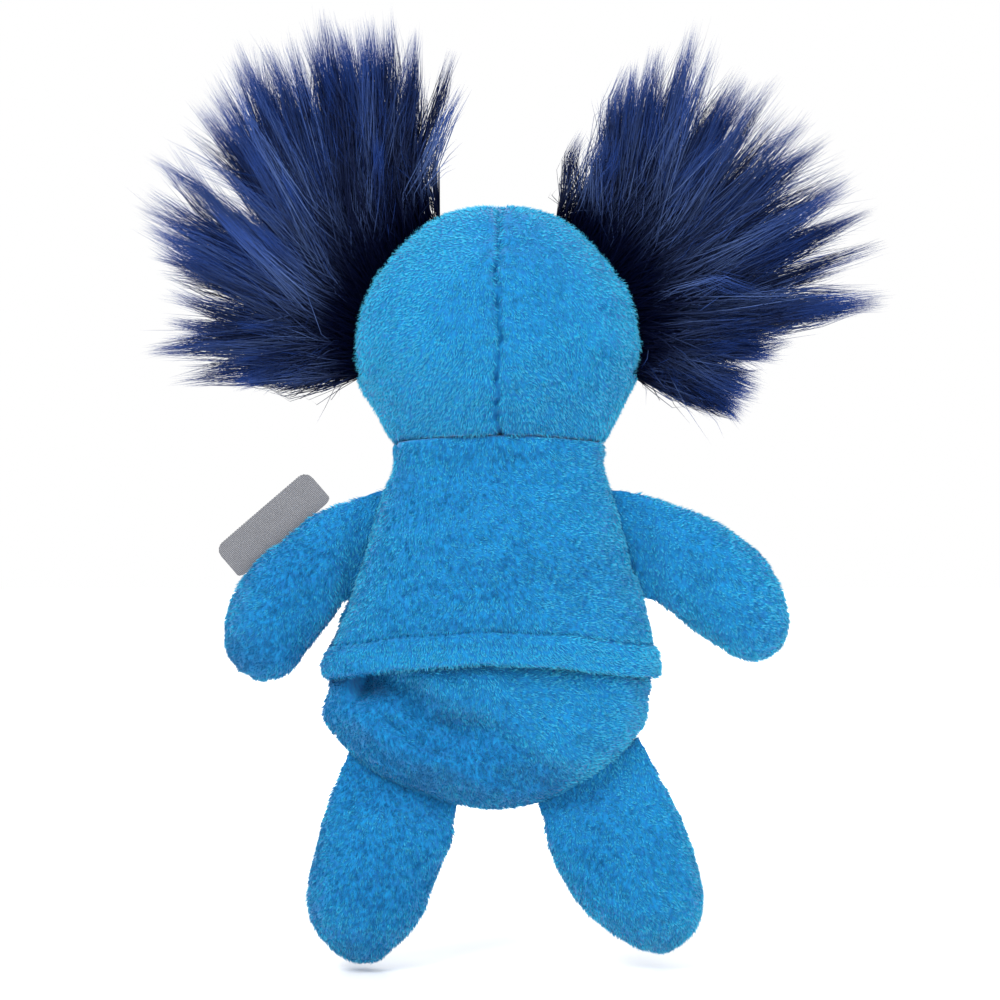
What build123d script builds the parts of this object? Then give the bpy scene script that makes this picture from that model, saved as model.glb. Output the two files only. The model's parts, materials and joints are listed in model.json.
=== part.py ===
"""Moving mouth hand puppet: a plush glove puppet whose jaw, head, arms and legs all move.

Millimetres, +Z up. The puppet stands upright and faces -Y, so its left side is +X.
The origin is the middle of the hand opening, under the hem of its back.
"""
from build123d import *
import os
from math import cos, radians, sin, tan

os.makedirs("parts", exist_ok=True)

# ---------------------------------------------------------------- driving dimensions
CLOTH = 3.0  # plush with its backing, pressed flat
SEAM = 0.3  # gap between two panels that are sewn edge to edge
FIT = 0.4  # room between a piece and the cloth that holds it
STUFFED_FIT = 2 * FIT  # room round the stuffing where cloth may sag onto it
FELT = 1.4
BOARD = 2.0  # stiffener in the mouth
LINING = 1.6
REACH = 320.0  # longer than the puppet, for cutting shapes

NECK_Z = 84.0
NECK_HALF_WIDTH = 42.6
NECK_BACK = 24.0
NECK_FRONT = 19.0
NECK_OVERLAP = 2 * CLOTH  # the sections run this far past the neck before they are cut
HEAD_FLARE = 0.4  # the head is narrower by this at the end of that overlap
THROAT_DRAW = 0.68  # the body's front at the neck, as a share of the head's
THROAT_DRAW_TOP = 0.6  # and at the end of the overlap
HEAD_HEIGHT = 93.0  # neck seam to crown
HEAD_HALF_WIDTH = 58.0
HEAD_FRONT = 43.0
HEAD_BACK = 40.0
# Above the neck: share of the height, of the half width, of the front and of the back.
HEAD_SHAPE = (
    (0.237, 0.931, 0.90, 0.925),
    (0.366, 1.000, 1.00, 1.000),
    (0.559, 0.879, 0.94, 0.950),
    (0.710, 0.745, 0.81, 0.830),
    (0.817, 0.620, 0.66, 0.675),
    (0.903, 0.480, 0.50, 0.510),
    (0.968, 0.290, 0.30, 0.310),
    (1.000, 0.080, 0.09, 0.090),
)

MOUTH_ABOVE_NECK = 34.0
MOUTH_GAP = 0.6  # between the closed lips
HINGE_Y = -4.0  # the corner of the mouth
HINGE_BEAD_R = 2.2  # folded felt at the corner
HINGE_BEAD_HALF = 44.0
THROAT_ANGLE = 76.0  # throat below the horizontal
JAW_ANGLE = 34.0  # underside of the closed jaw below the horizontal
JAW_BACK_Y = -10.0
MOUTH_BACK_Y = -6.4  # rear edge of felt and board
TONGUE_HALF_WIDTH = 17.0
TONGUE_LENGTH = 24.0
THUMB_HALF_WIDTH = 15.0
THUMB_LOW = 10.0  # above the neck seam
THUMB_HIGH = 28.0
THUMB_POCKET_FRONT_Y = -28.0
FINGER_POCKET_HEIGHT = 18.5

EYE_X = 17.5
EYE_ABOVE_MOUTH = 32.5
EYE_PATCH_R = 10.0
EYE_R = 6.0
EYE_HEIGHT = 4.0
SHANK_R = 1.5
SHANK_LENGTH = 10.5
WASHER_R = 6.0
WASHER = 1.2
WASHER_GRIP = 0.1  # between the washer's hole and the shank
WASHER_DEPTH = CLOTH + 4 * FIT  # outer face of the washer, under the face's surface
EYE_HOLE_HALF = 4 * CLOTH  # the holes for the eyes are cut this far each way
NOSE_ABOVE_MOUTH = 14.0
NOSE_RADII = (8.0, 6.0, 5.5)

NOD = 12.0  # degrees the head nods each way
NOD_SPARE = 0.5  # degrees the collar is cut beyond that
HIP_HALF_WIDTH = 66.0
BELLY_FRONT = 28.0
BODY_BACK = 31.0
SEAT_BACK = 14.0  # the seat panel is tucked in under the hem
SEAT_DEPTH = 63.0  # hand opening to bottom seam
SEAT_TOP = 14.0  # how far the seat panel runs up inside the hem
SEAT_TUCK = CLOTH + LINING + 5 * FIT  # the seat's sides stand in from the body's by this
HEM = 12.0  # turned-up hem
HEM_CENTRE_Z = -2.0
HEM_END_Z = -8.5
# Below the neck: share of the drop to the bottom seam, half width as a share of the hips,
# then the front and back as shares of the belly and of the back.
TORSO_SHAPE = (
    (0.068, 0.641, 0.50, 0.74),
    (0.136, 0.685, 0.64, 0.82),
    (0.286, 0.791, 0.90, 0.96),
    (0.435, 0.897, 1.00, 1.00),
    (0.517, 0.955, 1.00, 1.00),
    (0.599, 1.000, 0.98, 0.97),
    (0.667, 0.979, 0.93, 0.93),
    (0.748, 0.930, 0.85, 0.85),
    (0.816, 0.818, 0.76, 0.76),
    (0.884, 0.652, 0.62, 0.62),
    (0.939, 0.455, 0.46, 0.46),
    (0.980, 0.258, 0.28, 0.28),
    (1.000, 0.091, 0.10, 0.10),
)

# A limb is a row of stations from its seam to its tip. Each has the two edges of the limb,
# as (x, z), and half its thickness. The seam is the first one.
LIMBS = {
    "arm_left": (
        ((45.9, 64.0), (59.7, 20.5), 0.3),
        ((54.0, 62.0), (62.8, 17.5), 3.6),
        ((66.0, 57.8), (66.6, 12.5), 9.0),
        ((78.0, 51.2), (70.6, 7.6), 12.5),
        ((92.0, 39.4), (75.0, 1.6), 15.0),
        ((103.6, 27.0), (81.0, -6.0), 15.5),
        ((108.6, 14.0), (87.0, -10.4), 13.5),
        ((109.0, 2.0), (94.0, -12.4), 9.0),
        ((105.6, -4.6), (100.0, -9.4), 3.0),
    ),
    "arm_right": (
        ((-45.9, 64.0), (-59.7, 20.5), 0.3),
        ((-54.0, 63.4), (-63.6, 19.0), 3.6),
        ((-66.0, 59.8), (-68.8, 16.0), 9.0),
        ((-79.0, 54.8), (-74.6, 11.8), 12.5),
        ((-93.0, 47.6), (-82.4, 4.8), 15.0),
        ((-105.0, 38.4), (-90.0, -0.4), 15.5),
        ((-112.8, 26.4), (-97.6, -3.6), 13.5),
        ((-116.0, 13.6), (-104.6, -3.8), 9.0),
        ((-114.6, 5.6), (-110.4, -0.8), 3.0),
    ),
    "leg_left": (
        ((57.6, -37.2), (16.6, -63.8), 0.3),
        ((62.0, -45.6), (16.8, -67.6), 3.6),
        ((67.0, -58.6), (17.8, -73.6), 10.0),
        ((71.8, -73.4), (21.4, -82.6), 14.5),
        ((75.2, -88.6), (26.0, -94.6), 17.5),
        ((76.2, -102.4), (30.8, -105.4), 17.5),
        ((72.6, -113.0), (36.8, -114.4), 14.5),
        ((64.4, -121.0), (44.2, -121.6), 9.0),
        ((57.2, -124.0), (49.4, -124.2), 3.0),
    ),
    "leg_right": (
        ((-57.6, -37.2), (-16.6, -63.8), 0.3),
        ((-62.6, -45.0), (-16.8, -67.4), 3.6),
        ((-69.0, -57.4), (-18.2, -73.2), 10.0),
        ((-76.0, -72.4), (-21.8, -82.6), 14.5),
        ((-80.4, -87.6), (-27.8, -94.2), 17.5),
        ((-82.4, -100.0), (-34.4, -103.4), 17.5),
        ((-79.4, -110.6), (-42.6, -110.6), 14.5),
        ((-72.8, -117.6), (-52.8, -117.2), 9.0),
        ((-67.4, -120.2), (-60.6, -120.0), 3.0),
    ),
}
LIMB_CORE_FROM = 2  # first station that is thick enough to hold stuffing

LABEL_START = (71.1, 57.8)  # where the label is caught in the arm's upper seam
LABEL_END = (102.1, 30.5)
LABEL_WIDTH = 17.5
LABEL = 1.2
LABEL_CORNER = 4.0

# Tips of the locks in each tuft, from the crown round to the cheek: distance to the side, z.
HAIR_TIPS = {
    "hair_left": (
        (14.0, 234.0),
        (42.0, 250.0),
        (71.0, 254.0),
        (101.0, 243.0),
        (125.0, 221.0),
        (140.0, 194.0),
        (142.0, 163.0),
        (132.0, 132.0),
        (108.0, 104.0),
    ),
    "hair_right": (
        (28.0, 220.0),
        (52.0, 239.0),
        (79.0, 247.0),
        (110.0, 230.0),
        (134.0, 208.0),
        (151.0, 178.0),
        (153.0, 143.0),
        (122.0, 117.0),
        (96.0, 93.0),
    ),
}
HAIR_ROOT = 0.8  # room between the tuft and the head
HAIR_ROOT_X = 40.0  # middle of the roots
HAIR_ROOT_ABOVE_MOUTH = 32.0
HAIR_HALF_THICKNESS = 14.0
HAIR_NOTCH = 0.2  # how far the gap between two locks reaches in, as a share of their length
HAIR_SPREAD = (130.0, 122.0)  # the tuft would thin to nothing this far from its roots
HAIR_TOP_X = 9.0

# ---------------------------------------------------------------- worked-out places
CROWN_Z = NECK_Z + HEAD_HEIGHT
MOUTH_Z = NECK_Z + MOUTH_ABOVE_NECK
EYE_Z = MOUTH_Z + EYE_ABOVE_MOUTH
NOSE_Z = MOUTH_Z + NOSE_ABOVE_MOUTH
TORSO_DROP = NECK_Z + SEAT_DEPTH
PALATE_Z = MOUTH_Z + MOUTH_GAP
UPPER_BOARD_Z = PALATE_Z + FELT + SEAM / 2
POCKET_Z = UPPER_BOARD_Z + BOARD + SEAM / 2
POCKET_TOP_Z = POCKET_Z + FINGER_POCKET_HEIGHT
TONGUE_TOP_Z = MOUTH_Z
JAW_FELT_TOP_Z = TONGUE_TOP_Z - FELT - SEAM / 2
LOWER_BOARD_TOP_Z = JAW_FELT_TOP_Z - FELT - SEAM / 2
SEAM_HALF = SEAM / 2


def write(node, shape):
    """Write one sub-part, as the solids that it is made of."""
    solids = list(shape.solids())
    part = solids[0] if len(solids) == 1 else Compound(solids)
    export_step(part, f"parts/{node}.step")


def block(x, y, z):
    """A box between two x, two y and two z values."""
    size = [high - low for low, high in (x, y, z)]
    middle = [(high + low) / 2 for low, high in (x, y, z)]
    return Pos(*middle) * Box(*size)


WHOLE = (-REACH, REACH)


def side_prism(*points):
    """A shape drawn as (y, z) points and run right across the puppet."""
    face = Plane.YZ * make_face(Polyline(*points, close=True))
    return extrude(face, amount=REACH, both=True)


def front_prism(*lines):
    """A shape drawn in x and z as lines that close on each other, run from front to back."""
    edges = [edge for line in lines for edge in line.edges()]
    face = Plane.XZ * make_face(edges)
    return extrude(face, amount=REACH, both=True)


def bag(levels, inset=0.0):
    """A stuffed shape through level ellipses: (z, half width, front, back), drawn in by inset."""
    sections = []
    for z, half_width, front, back in levels:
        depth = (front + back) / 2 - inset
        sections.append(Pos(0, (back - front) / 2, z) * Ellipse(half_width - inset, depth))
    return loft(sections)


def head_levels(inset=0.0):
    """Level ellipses of the head, from just below the neck up to the crown."""
    squeeze = (HEAD_HEIGHT - inset) / HEAD_HEIGHT
    below = NECK_Z - NECK_OVERLAP
    levels = [
        (below, NECK_HALF_WIDTH - HEAD_FLARE, NECK_FRONT, NECK_BACK),
        (NECK_Z, NECK_HALF_WIDTH, NECK_FRONT, NECK_BACK),
    ]
    for up, wide, front, back in HEAD_SHAPE:
        z = NECK_Z + up * HEAD_HEIGHT * squeeze
        levels.append((z, wide * HEAD_HALF_WIDTH, front * HEAD_FRONT, back * HEAD_BACK))
    if inset:
        levels = levels[:-1]
    return levels


def torso_levels(inset=0.0, back=None):
    """Level ellipses of the body, from just above the neck down to the bottom seam."""
    squeeze = (TORSO_DROP - inset) / TORSO_DROP
    above = NECK_Z + NECK_OVERLAP
    levels = [
        (above, NECK_HALF_WIDTH, NECK_FRONT * THROAT_DRAW_TOP, NECK_BACK),
        (NECK_Z, NECK_HALF_WIDTH, NECK_FRONT * THROAT_DRAW, NECK_BACK),
    ]
    for down, wide, front, rear in TORSO_SHAPE:
        z = NECK_Z - down * TORSO_DROP * squeeze
        levels.append((z, wide * HIP_HALF_WIDTH, front * BELLY_FRONT, rear * BODY_BACK))
    if inset:
        levels = levels[:-1]
    return levels


def seat_levels(inset=0.0):
    """Level ellipses of the seat's back, which runs up inside the hem and is flatter."""
    levels = []
    for z, half_width, _front, back in torso_levels(inset):
        if z > HEM + CLOTH + SEAT_TOP:
            continue
        tucked = min(1.0, max(0.0, (z - 2 * HEM_END_Z + SEAM) / -HEM_END_Z))
        depth = min(back, SEAT_BACK)
        levels.append((z, half_width - SEAT_TUCK * tucked, depth, depth))
    return levels


# ---------------------------------------------------------------- head
head_solid = bag(head_levels())
head_hollow = bag(head_levels(CLOTH), CLOTH)
head_filling_room = bag(head_levels(CLOTH + FIT), CLOTH + FIT)
head_pocket_room = bag(head_levels(CLOTH + FIT + LINING), CLOTH + FIT + LINING)


def throat_y(z, set_back=0.0):
    """Where the throat's front face stands at a height, or a parallel plane behind it."""
    drop = (MOUTH_Z - z) / tan(radians(THROAT_ANGLE))
    return HINGE_Y - drop + set_back / sin(radians(THROAT_ANGLE))


def jaw_z(y, raised=0.0):
    """Where the jaw's underside is at a depth, or a parallel plane above it."""
    return MOUTH_Z - (HINGE_Y - y) * tan(radians(JAW_ANGLE)) + raised / cos(radians(JAW_ANGLE))


def head_back_panel(side):
    """Half of the back of the head, from its centre seam round to the throat."""
    low = NECK_Z + SEAM
    behind = side_prism(
        (SEAM_HALF, REACH),
        (SEAM_HALF, MOUTH_Z),
        (HINGE_Y + SEAM, MOUTH_Z),
        (throat_y(low), low),
        (REACH, low),
        (REACH, REACH),
    )
    half = block(sorted((side * SEAM_HALF, side * REACH)), WHOLE, WHOLE)
    return ((head_solid & half) & behind) - head_hollow


def on_face(x, z):
    """The plane that touches the face at x and z, with its normal pointing out."""
    line = Axis((x, -REACH, z), (0, 1, 0))
    hits = head_solid.find_intersection_points(line)
    point, normal = min(hits, key=lambda hit: hit[0].Y)
    if normal.Y > 0:
        normal = normal * -1
    return Plane(origin=point, z_dir=normal)


def disc(plane, radius, low, high, hole=0.0):
    """A disc between two heights over a plane, with an optional hole."""
    middle = plane * Pos(0, 0, (low + high) / 2)
    solid = middle * Cylinder(radius, high - low)
    if hole:
        solid -= middle * Cylinder(hole, 2 * (high - low))
    return solid


def eye(plane):
    """A domed safety eye: a cap on a shank that passes through the cloth."""
    base = FIT + FELT + SEAM
    sphere_r = (EYE_R**2 + EYE_HEIGHT**2) / (2 * EYE_HEIGHT)
    ball = plane * Pos(0, 0, base + EYE_HEIGHT - sphere_r) * Sphere(sphere_r)
    cap = ball & (plane * Pos(0, 0, base + REACH / 2) * Box(REACH, REACH, REACH))
    return cap + disc(plane, SHANK_R, base - SHANK_LENGTH, base + EYE_HEIGHT / 2)


eye_planes = {"left": on_face(EYE_X, EYE_Z), "right": on_face(-EYE_X, EYE_Z)}
above_mouth = block(WHOLE, (-REACH, -SEAM_HALF), (MOUTH_Z + MOUTH_GAP / 2, REACH))
face = (head_solid & above_mouth) - head_hollow
head_filling = head_filling_room & block(WHOLE, WHOLE, (POCKET_TOP_Z + FIT, REACH))
for side, plane in eye_planes.items():
    face -= disc(plane, SHANK_R + FIT, -EYE_HOLE_HALF, EYE_HOLE_HALF)
    head_filling -= disc(plane, WASHER_R + FIT, -SHANK_LENGTH, EYE_HOLE_HALF)
    write(f"eye_patch_{side}", disc(plane, EYE_PATCH_R, FIT, FIT + FELT, SHANK_R + FIT))
    write(f"eye_{side}", eye(plane))
    washer = disc(
        plane, WASHER_R, -WASHER_DEPTH - WASHER, -WASHER_DEPTH, SHANK_R + WASHER_GRIP
    )
    write(f"eye_washer_{side}", washer)
write("face_panel", face)
write("head_stuffing", head_filling)
write("head_back_left_panel", head_back_panel(1))
write("head_back_right_panel", head_back_panel(-1))

nose_plane = on_face(0, NOSE_Z)
nose_ball = Pos(nose_plane.origin) * scale(Sphere(1), by=NOSE_RADII)
write("nose", nose_ball & (nose_plane * Pos(0, 0, FIT + REACH / 2) * Box(REACH, REACH, REACH)))

# Throat: a flat panel that closes the front of the neck, with a way through for the thumb.
low, high = NECK_Z + SEAM, MOUTH_Z - HINGE_BEAD_R - 2 * FIT
throat_strip = side_prism(
    (throat_y(low), low),
    (throat_y(high), high),
    (throat_y(high, CLOTH), high),
    (throat_y(low, CLOTH), low),
)
thumb_way = block(
    (-THUMB_HALF_WIDTH, THUMB_HALF_WIDTH),
    WHOLE,
    (NECK_Z + THUMB_LOW, NECK_Z + THUMB_HIGH),
)
write("throat_panel", (head_filling_room & throat_strip) - thumb_way)

# Roof of the mouth, and the pocket over it for the fingers.
behind_lips = (-REACH, MOUTH_BACK_Y)
write("palate_felt", head_filling_room & block(WHOLE, behind_lips, (PALATE_Z, PALATE_Z + FELT)))
write(
    "mouth_board_upper",
    head_filling_room & block(WHOLE, behind_lips, (UPPER_BOARD_Z, UPPER_BOARD_Z + BOARD)),
)
pocket = head_filling_room & block(WHOLE, (-REACH, -FIT), (POCKET_Z, POCKET_TOP_Z))
pocket -= head_pocket_room & block(
    WHOLE, (-REACH, REACH), (POCKET_Z + LINING, POCKET_TOP_Z - LINING)
)
write("finger_pocket", pocket)
write(
    "mouth_fold",
    Pos(0, HINGE_Y, MOUTH_Z) * Rot(0, 90, 0) * Cylinder(HINGE_BEAD_R, 2 * HINGE_BEAD_HALF),
)


def hair(tips):
    """A fan of long locks that starts at the side seam of the head, on its left side."""
    root_z = MOUTH_Z + HAIR_ROOT_ABOVE_MOUTH
    spread_x, spread_z = HAIR_SPREAD
    fan = scale(Sphere(1), by=(spread_x, HAIR_HALF_THICKNESS, spread_z))
    roots = [(wide + HAIR_ROOT, z) for z, wide, _front, _back in head_levels()[2:-1]]
    locks = [roots[-1], (HAIR_TOP_X, CROWN_Z + HAIR_ROOT)]
    for tip, after in zip(tips, tips[1:]):
        locks.append(tip)
        between_x, between_z = (tip[0] + after[0]) / 2, (tip[1] + after[1]) / 2
        notch_x = between_x + HAIR_NOTCH * (HAIR_ROOT_X - between_x)
        notch_z = between_z + HAIR_NOTCH * (root_z - between_z)
        locks.append((notch_x, notch_z))
    locks += [tips[-1], roots[0]]
    tuft = front_prism(Spline(*roots), Polyline(*locks))
    return (Pos(HAIR_ROOT_X, 0, root_z) * fan) & tuft


write("hair_left", hair(HAIR_TIPS["hair_left"]))
write("hair_right", mirror(hair(HAIR_TIPS["hair_right"]), about=Plane.YZ))

# ---------------------------------------------------------------- jaw
wedge = side_prism(
    (JAW_BACK_Y, MOUTH_Z - MOUTH_GAP / 2),
    (-REACH, MOUTH_Z - MOUTH_GAP / 2),
    (-REACH, jaw_z(-REACH)),
    (JAW_BACK_Y, jaw_z(JAW_BACK_Y)),
)
underside = side_prism(
    (JAW_BACK_Y, jaw_z(JAW_BACK_Y)),
    (-REACH, jaw_z(-REACH)),
    (-REACH, jaw_z(-REACH, CLOTH)),
    (JAW_BACK_Y, jaw_z(JAW_BACK_Y, CLOTH)),
)
above_jaw_filling = side_prism(
    (REACH, jaw_z(REACH, CLOTH + FIT)),
    (-REACH, jaw_z(-REACH, CLOTH + FIT)),
    (-REACH, REACH),
    (REACH, jaw_z(REACH, REACH)),
)
below_board = block(WHOLE, (-REACH, JAW_BACK_Y), (-REACH, LOWER_BOARD_TOP_Z - BOARD - FIT))
thumb_pocket = block(
    (-THUMB_HALF_WIDTH, THUMB_HALF_WIDTH), (THUMB_POCKET_FRONT_Y, REACH), WHOLE
)
write("chin_panel", (head_solid & wedge) - head_hollow)
write("jaw_gusset", ((head_filling_room & underside) & below_board) - thumb_pocket)
beside_thumb = block((-THUMB_HALF_WIDTH - FIT, THUMB_HALF_WIDTH + FIT), WHOLE, WHOLE)
write("jaw_stuffing", ((head_filling_room & below_board) & above_jaw_filling) - beside_thumb)
jaw_room = head_filling_room & wedge
jaw_felt_layer = block(WHOLE, WHOLE, (JAW_FELT_TOP_Z - FELT, JAW_FELT_TOP_Z))
lower_board_layer = block(WHOLE, WHOLE, (LOWER_BOARD_TOP_Z - BOARD, LOWER_BOARD_TOP_Z))
write("jaw_felt", jaw_room & jaw_felt_layer)
write("mouth_board_lower", jaw_room & lower_board_layer)
tongue_front = JAW_BACK_Y - TONGUE_LENGTH
tongue_round = tongue_front + TONGUE_HALF_WIDTH
tongue_outline = Plane.XY.offset(TONGUE_TOP_Z - FELT) * make_face(
    [
        Line((-TONGUE_HALF_WIDTH, tongue_round), (-TONGUE_HALF_WIDTH, JAW_BACK_Y)),
        Line((-TONGUE_HALF_WIDTH, JAW_BACK_Y), (TONGUE_HALF_WIDTH, JAW_BACK_Y)),
        Line((TONGUE_HALF_WIDTH, JAW_BACK_Y), (TONGUE_HALF_WIDTH, tongue_round)),
        ThreePointArc(
            (TONGUE_HALF_WIDTH, tongue_round),
            (0, tongue_front),
            (-TONGUE_HALF_WIDTH, tongue_round),
        ),
    ]
)
write("tongue", extrude(tongue_outline, amount=FELT))

# ---------------------------------------------------------------- torso
torso_solid = bag(torso_levels())
torso_hollow = bag(torso_levels(CLOTH), CLOTH)
nod_slope = tan(radians(NOD + NOD_SPARE))
collar = side_prism(
    (0, NECK_Z - SEAM),
    (REACH, NECK_Z - SEAM - nod_slope * REACH),
    (REACH, -REACH),
    (-REACH, -REACH),
    (-REACH, NECK_Z - SEAM - nod_slope * REACH),
)


def above_hem(rise):
    """Everything over the arched edge of the hem, or over a line that much above it."""
    low, mid = HEM_END_Z + rise, HEM_CENTRE_Z + rise
    arch = ThreePointArc((-HIP_HALF_WIDTH, low), (0, mid), (HIP_HALF_WIDTH, low))
    rest = Polyline(
        (HIP_HALF_WIDTH, low),
        (REACH, low),
        (REACH, REACH),
        (-REACH, REACH),
        (-REACH, low),
        (-HIP_HALF_WIDTH, low),
    )
    return front_prism(arch, rest)


front_side = block(WHOLE, (-REACH, -SEAM_HALF), WHOLE)
back_side = block(WHOLE, (SEAM_HALF, REACH), WHOLE)
under_collar = torso_solid & collar
write("torso_front_panel", (under_collar & front_side) - torso_hollow)
write("torso_back_panel", ((under_collar & back_side) & above_hem(0)) - torso_hollow)

hem_outer = bag(torso_levels(CLOTH + SEAM_HALF), CLOTH + SEAM_HALF)
hem_inner = bag(torso_levels(CLOTH + SEAM_HALF + LINING), CLOTH + SEAM_HALF + LINING)
hem_strip = ((hem_outer & back_side) & above_hem(0)) - above_hem(HEM)
write("hem_fold", hem_strip - hem_inner)

seat_solid = bag(seat_levels())
seat_hollow = bag(seat_levels(CLOTH), CLOTH)
under_seat_top = block(WHOLE, WHOLE, (-REACH, SEAT_TOP))
write("seat_panel", ((seat_solid & back_side) & under_seat_top) - seat_hollow)

# The stuffing of the seat lies between the front panel and the seat panel.
seat_back_room = bag(seat_levels(CLOTH + STUFFED_FIT), CLOTH + STUFFED_FIT)
seat_front_room = bag(torso_levels(CLOTH + FIT), CLOTH + FIT)
in_front = block(WHOLE, (-REACH, 0), (-REACH, HEM_END_Z))
behind = block(WHOLE, (0, REACH), (-REACH, HEM_END_Z))
write("seat_stuffing", (seat_front_room & in_front) + (seat_back_room & behind))

# ---------------------------------------------------------------- limbs


def limb_section(edge_a, edge_b, half_thickness, inset=0.0):
    """A stuffed oval between the limb's two edges, standing square to the front."""
    middle = Vector((edge_a[0] + edge_b[0]) / 2, 0, (edge_a[1] + edge_b[1]) / 2)
    across = Vector(edge_a[0] - edge_b[0], 0, edge_a[1] - edge_b[1])
    plane = Plane(origin=middle, x_dir=across, z_dir=across.cross(Vector(0, 1, 0)))
    edge, crown = across.length / 2 - inset, half_thickness - inset
    oval = Spline((edge, 0), (0, crown), (-edge, 0), (0, -crown), (edge, 0))
    return plane * make_face(oval.edges())


def limb_bag(stations, inset=0.0):
    """A stuffed limb through its stations, or the room inside its cloth."""
    if inset:
        stations = stations[LIMB_CORE_FROM:-1]
    return loft([limb_section(*station, inset) for station in stations])


for limb, stations in LIMBS.items():
    skin = limb_bag(stations)
    hollow = limb_bag(stations, CLOTH)
    write(f"{limb}_front_panel", (skin & front_side) - hollow)
    write(f"{limb}_back_panel", (skin & back_side) - hollow)
    write(f"{limb}_stuffing", limb_bag(stations, CLOTH + FIT))

# ---------------------------------------------------------------- label
label_run = Vector(LABEL_END[0] - LABEL_START[0], 0, LABEL_END[1] - LABEL_START[1])
label_middle = Vector(
    (LABEL_START[0] + LABEL_END[0]) / 2, 0, (LABEL_START[1] + LABEL_END[1]) / 2
)
label_out = Vector(-label_run.Z, 0, label_run.X).normalized()
label_plane = Plane(
    origin=label_middle + label_out * (FIT + LABEL_WIDTH / 2),
    x_dir=label_run,
    z_dir=Vector(0, 1, 0),
)
label_sheet = label_plane * RectangleRounded(label_run.length, LABEL_WIDTH, LABEL_CORNER)
write("label", extrude(label_sheet, amount=LABEL / 2, both=True))
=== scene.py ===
"""A plush hand puppet with a moving mouth: cloth, pile, fur, felt and eyes on its fixed frame."""
import json
from math import cos, pi, radians, sin, tan

import bpy
import numpy as np
from bpy.props import FloatProperty, FloatVectorProperty, IntProperty, PointerProperty
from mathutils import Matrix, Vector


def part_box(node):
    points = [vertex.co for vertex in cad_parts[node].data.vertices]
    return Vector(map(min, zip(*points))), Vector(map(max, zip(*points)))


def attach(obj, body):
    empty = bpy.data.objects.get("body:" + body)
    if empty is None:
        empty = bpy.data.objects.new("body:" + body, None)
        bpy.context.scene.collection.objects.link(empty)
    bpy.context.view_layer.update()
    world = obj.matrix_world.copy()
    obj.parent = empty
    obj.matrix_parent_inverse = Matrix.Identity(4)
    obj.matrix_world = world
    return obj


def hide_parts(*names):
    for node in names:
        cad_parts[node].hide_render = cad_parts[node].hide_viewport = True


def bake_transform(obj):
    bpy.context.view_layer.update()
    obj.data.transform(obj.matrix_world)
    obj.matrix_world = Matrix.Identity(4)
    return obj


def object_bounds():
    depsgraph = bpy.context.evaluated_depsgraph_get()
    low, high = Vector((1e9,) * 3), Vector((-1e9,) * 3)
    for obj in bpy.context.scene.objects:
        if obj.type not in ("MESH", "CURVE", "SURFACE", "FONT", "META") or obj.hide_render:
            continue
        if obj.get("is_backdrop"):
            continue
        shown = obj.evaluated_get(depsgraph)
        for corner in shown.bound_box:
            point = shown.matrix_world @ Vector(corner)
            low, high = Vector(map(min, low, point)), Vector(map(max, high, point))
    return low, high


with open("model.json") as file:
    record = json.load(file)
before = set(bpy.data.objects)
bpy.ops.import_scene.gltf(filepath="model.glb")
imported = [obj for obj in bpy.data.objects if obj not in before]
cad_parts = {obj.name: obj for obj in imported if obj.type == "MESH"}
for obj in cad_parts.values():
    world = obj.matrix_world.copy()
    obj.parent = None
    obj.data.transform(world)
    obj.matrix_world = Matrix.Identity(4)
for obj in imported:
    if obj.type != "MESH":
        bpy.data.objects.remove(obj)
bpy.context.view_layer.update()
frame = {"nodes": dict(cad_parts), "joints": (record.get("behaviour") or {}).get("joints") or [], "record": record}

bl_info = {
    "name": "Mouth puppet",
    "version": (1, 0, 0),
    "blender": (4, 5, 0),
    "location": "3D View > Sidebar > Puppet",
    "description": "Builds the cloth, pile and fur of a moving mouth hand puppet",
    "category": "Object",
}

MM = 0.001
JOINTS = {joint["name"]: joint for joint in frame["joints"]}
LIMBS = ("arm_left", "arm_right", "leg_left", "leg_right")


def low(node):
    """The lowest corner of a CAD node, in millimetres."""
    return np.array(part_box(node)[0]) / MM


def high(node):
    """The highest corner of a CAD node, in millimetres."""
    return np.array(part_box(node)[1]) / MM


def pivot(joint):
    """A joint's point and its unit axis, in millimetres."""
    axis = np.array(JOINTS[joint]["axis"], float)
    return np.array(JOINTS[joint]["pos_m"]) / MM, axis / np.linalg.norm(axis)


NECK_Z = pivot("head_nod")[0][2]
HINGE = pivot("jaw_open")[0]
MOUTH_Z = HINGE[2]
CROWN_Z = high("head_back_left_panel")[2]
HEAD_WIDE = high("head_back_left_panel")[0]
HEAD_BACK = high("head_back_left_panel")[1]
HEAD_FRONT = -low("face_panel")[1]
SEAT_Z = low("torso_front_panel")[2]
HIP_WIDE = high("torso_front_panel")[0]
BELLY = -low("torso_front_panel")[1]
BACK = high("torso_back_panel")[1]

THROAT_ANGLE = radians(76)
JAW_ANGLE = radians(34)
PILE_ROOM = 0.4  # the cloth lies this far inside the pile's surface, in millimetres
NECK_DIP = 1.4  # the neck seam's ends lie this far under the joint's height
NECK_ARCH = 2.8  # and its middle, at the back, this far above its ends
NECK_HALF = 43.0  # half the neck seam's width
STITCH_RISE = 11.0  # the hem's stitched line lies this far above its edge
HEAD_HEART = np.array([0.0, 0.0, 125.0])  # cloth of the head that faces away from here is outside
PATCH_BARE = 9.2  # no pile grows this near an eye patch's middle
NOSE_BARE = 5.0  # nor this near the nose's
SEAM_BARE = 0.7  # nor this near the seam at the back of the head
LATTICE_PRIMES = np.array([73856093, 19349663, 83492791])  # mix a lattice cell's three counts into one


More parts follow.
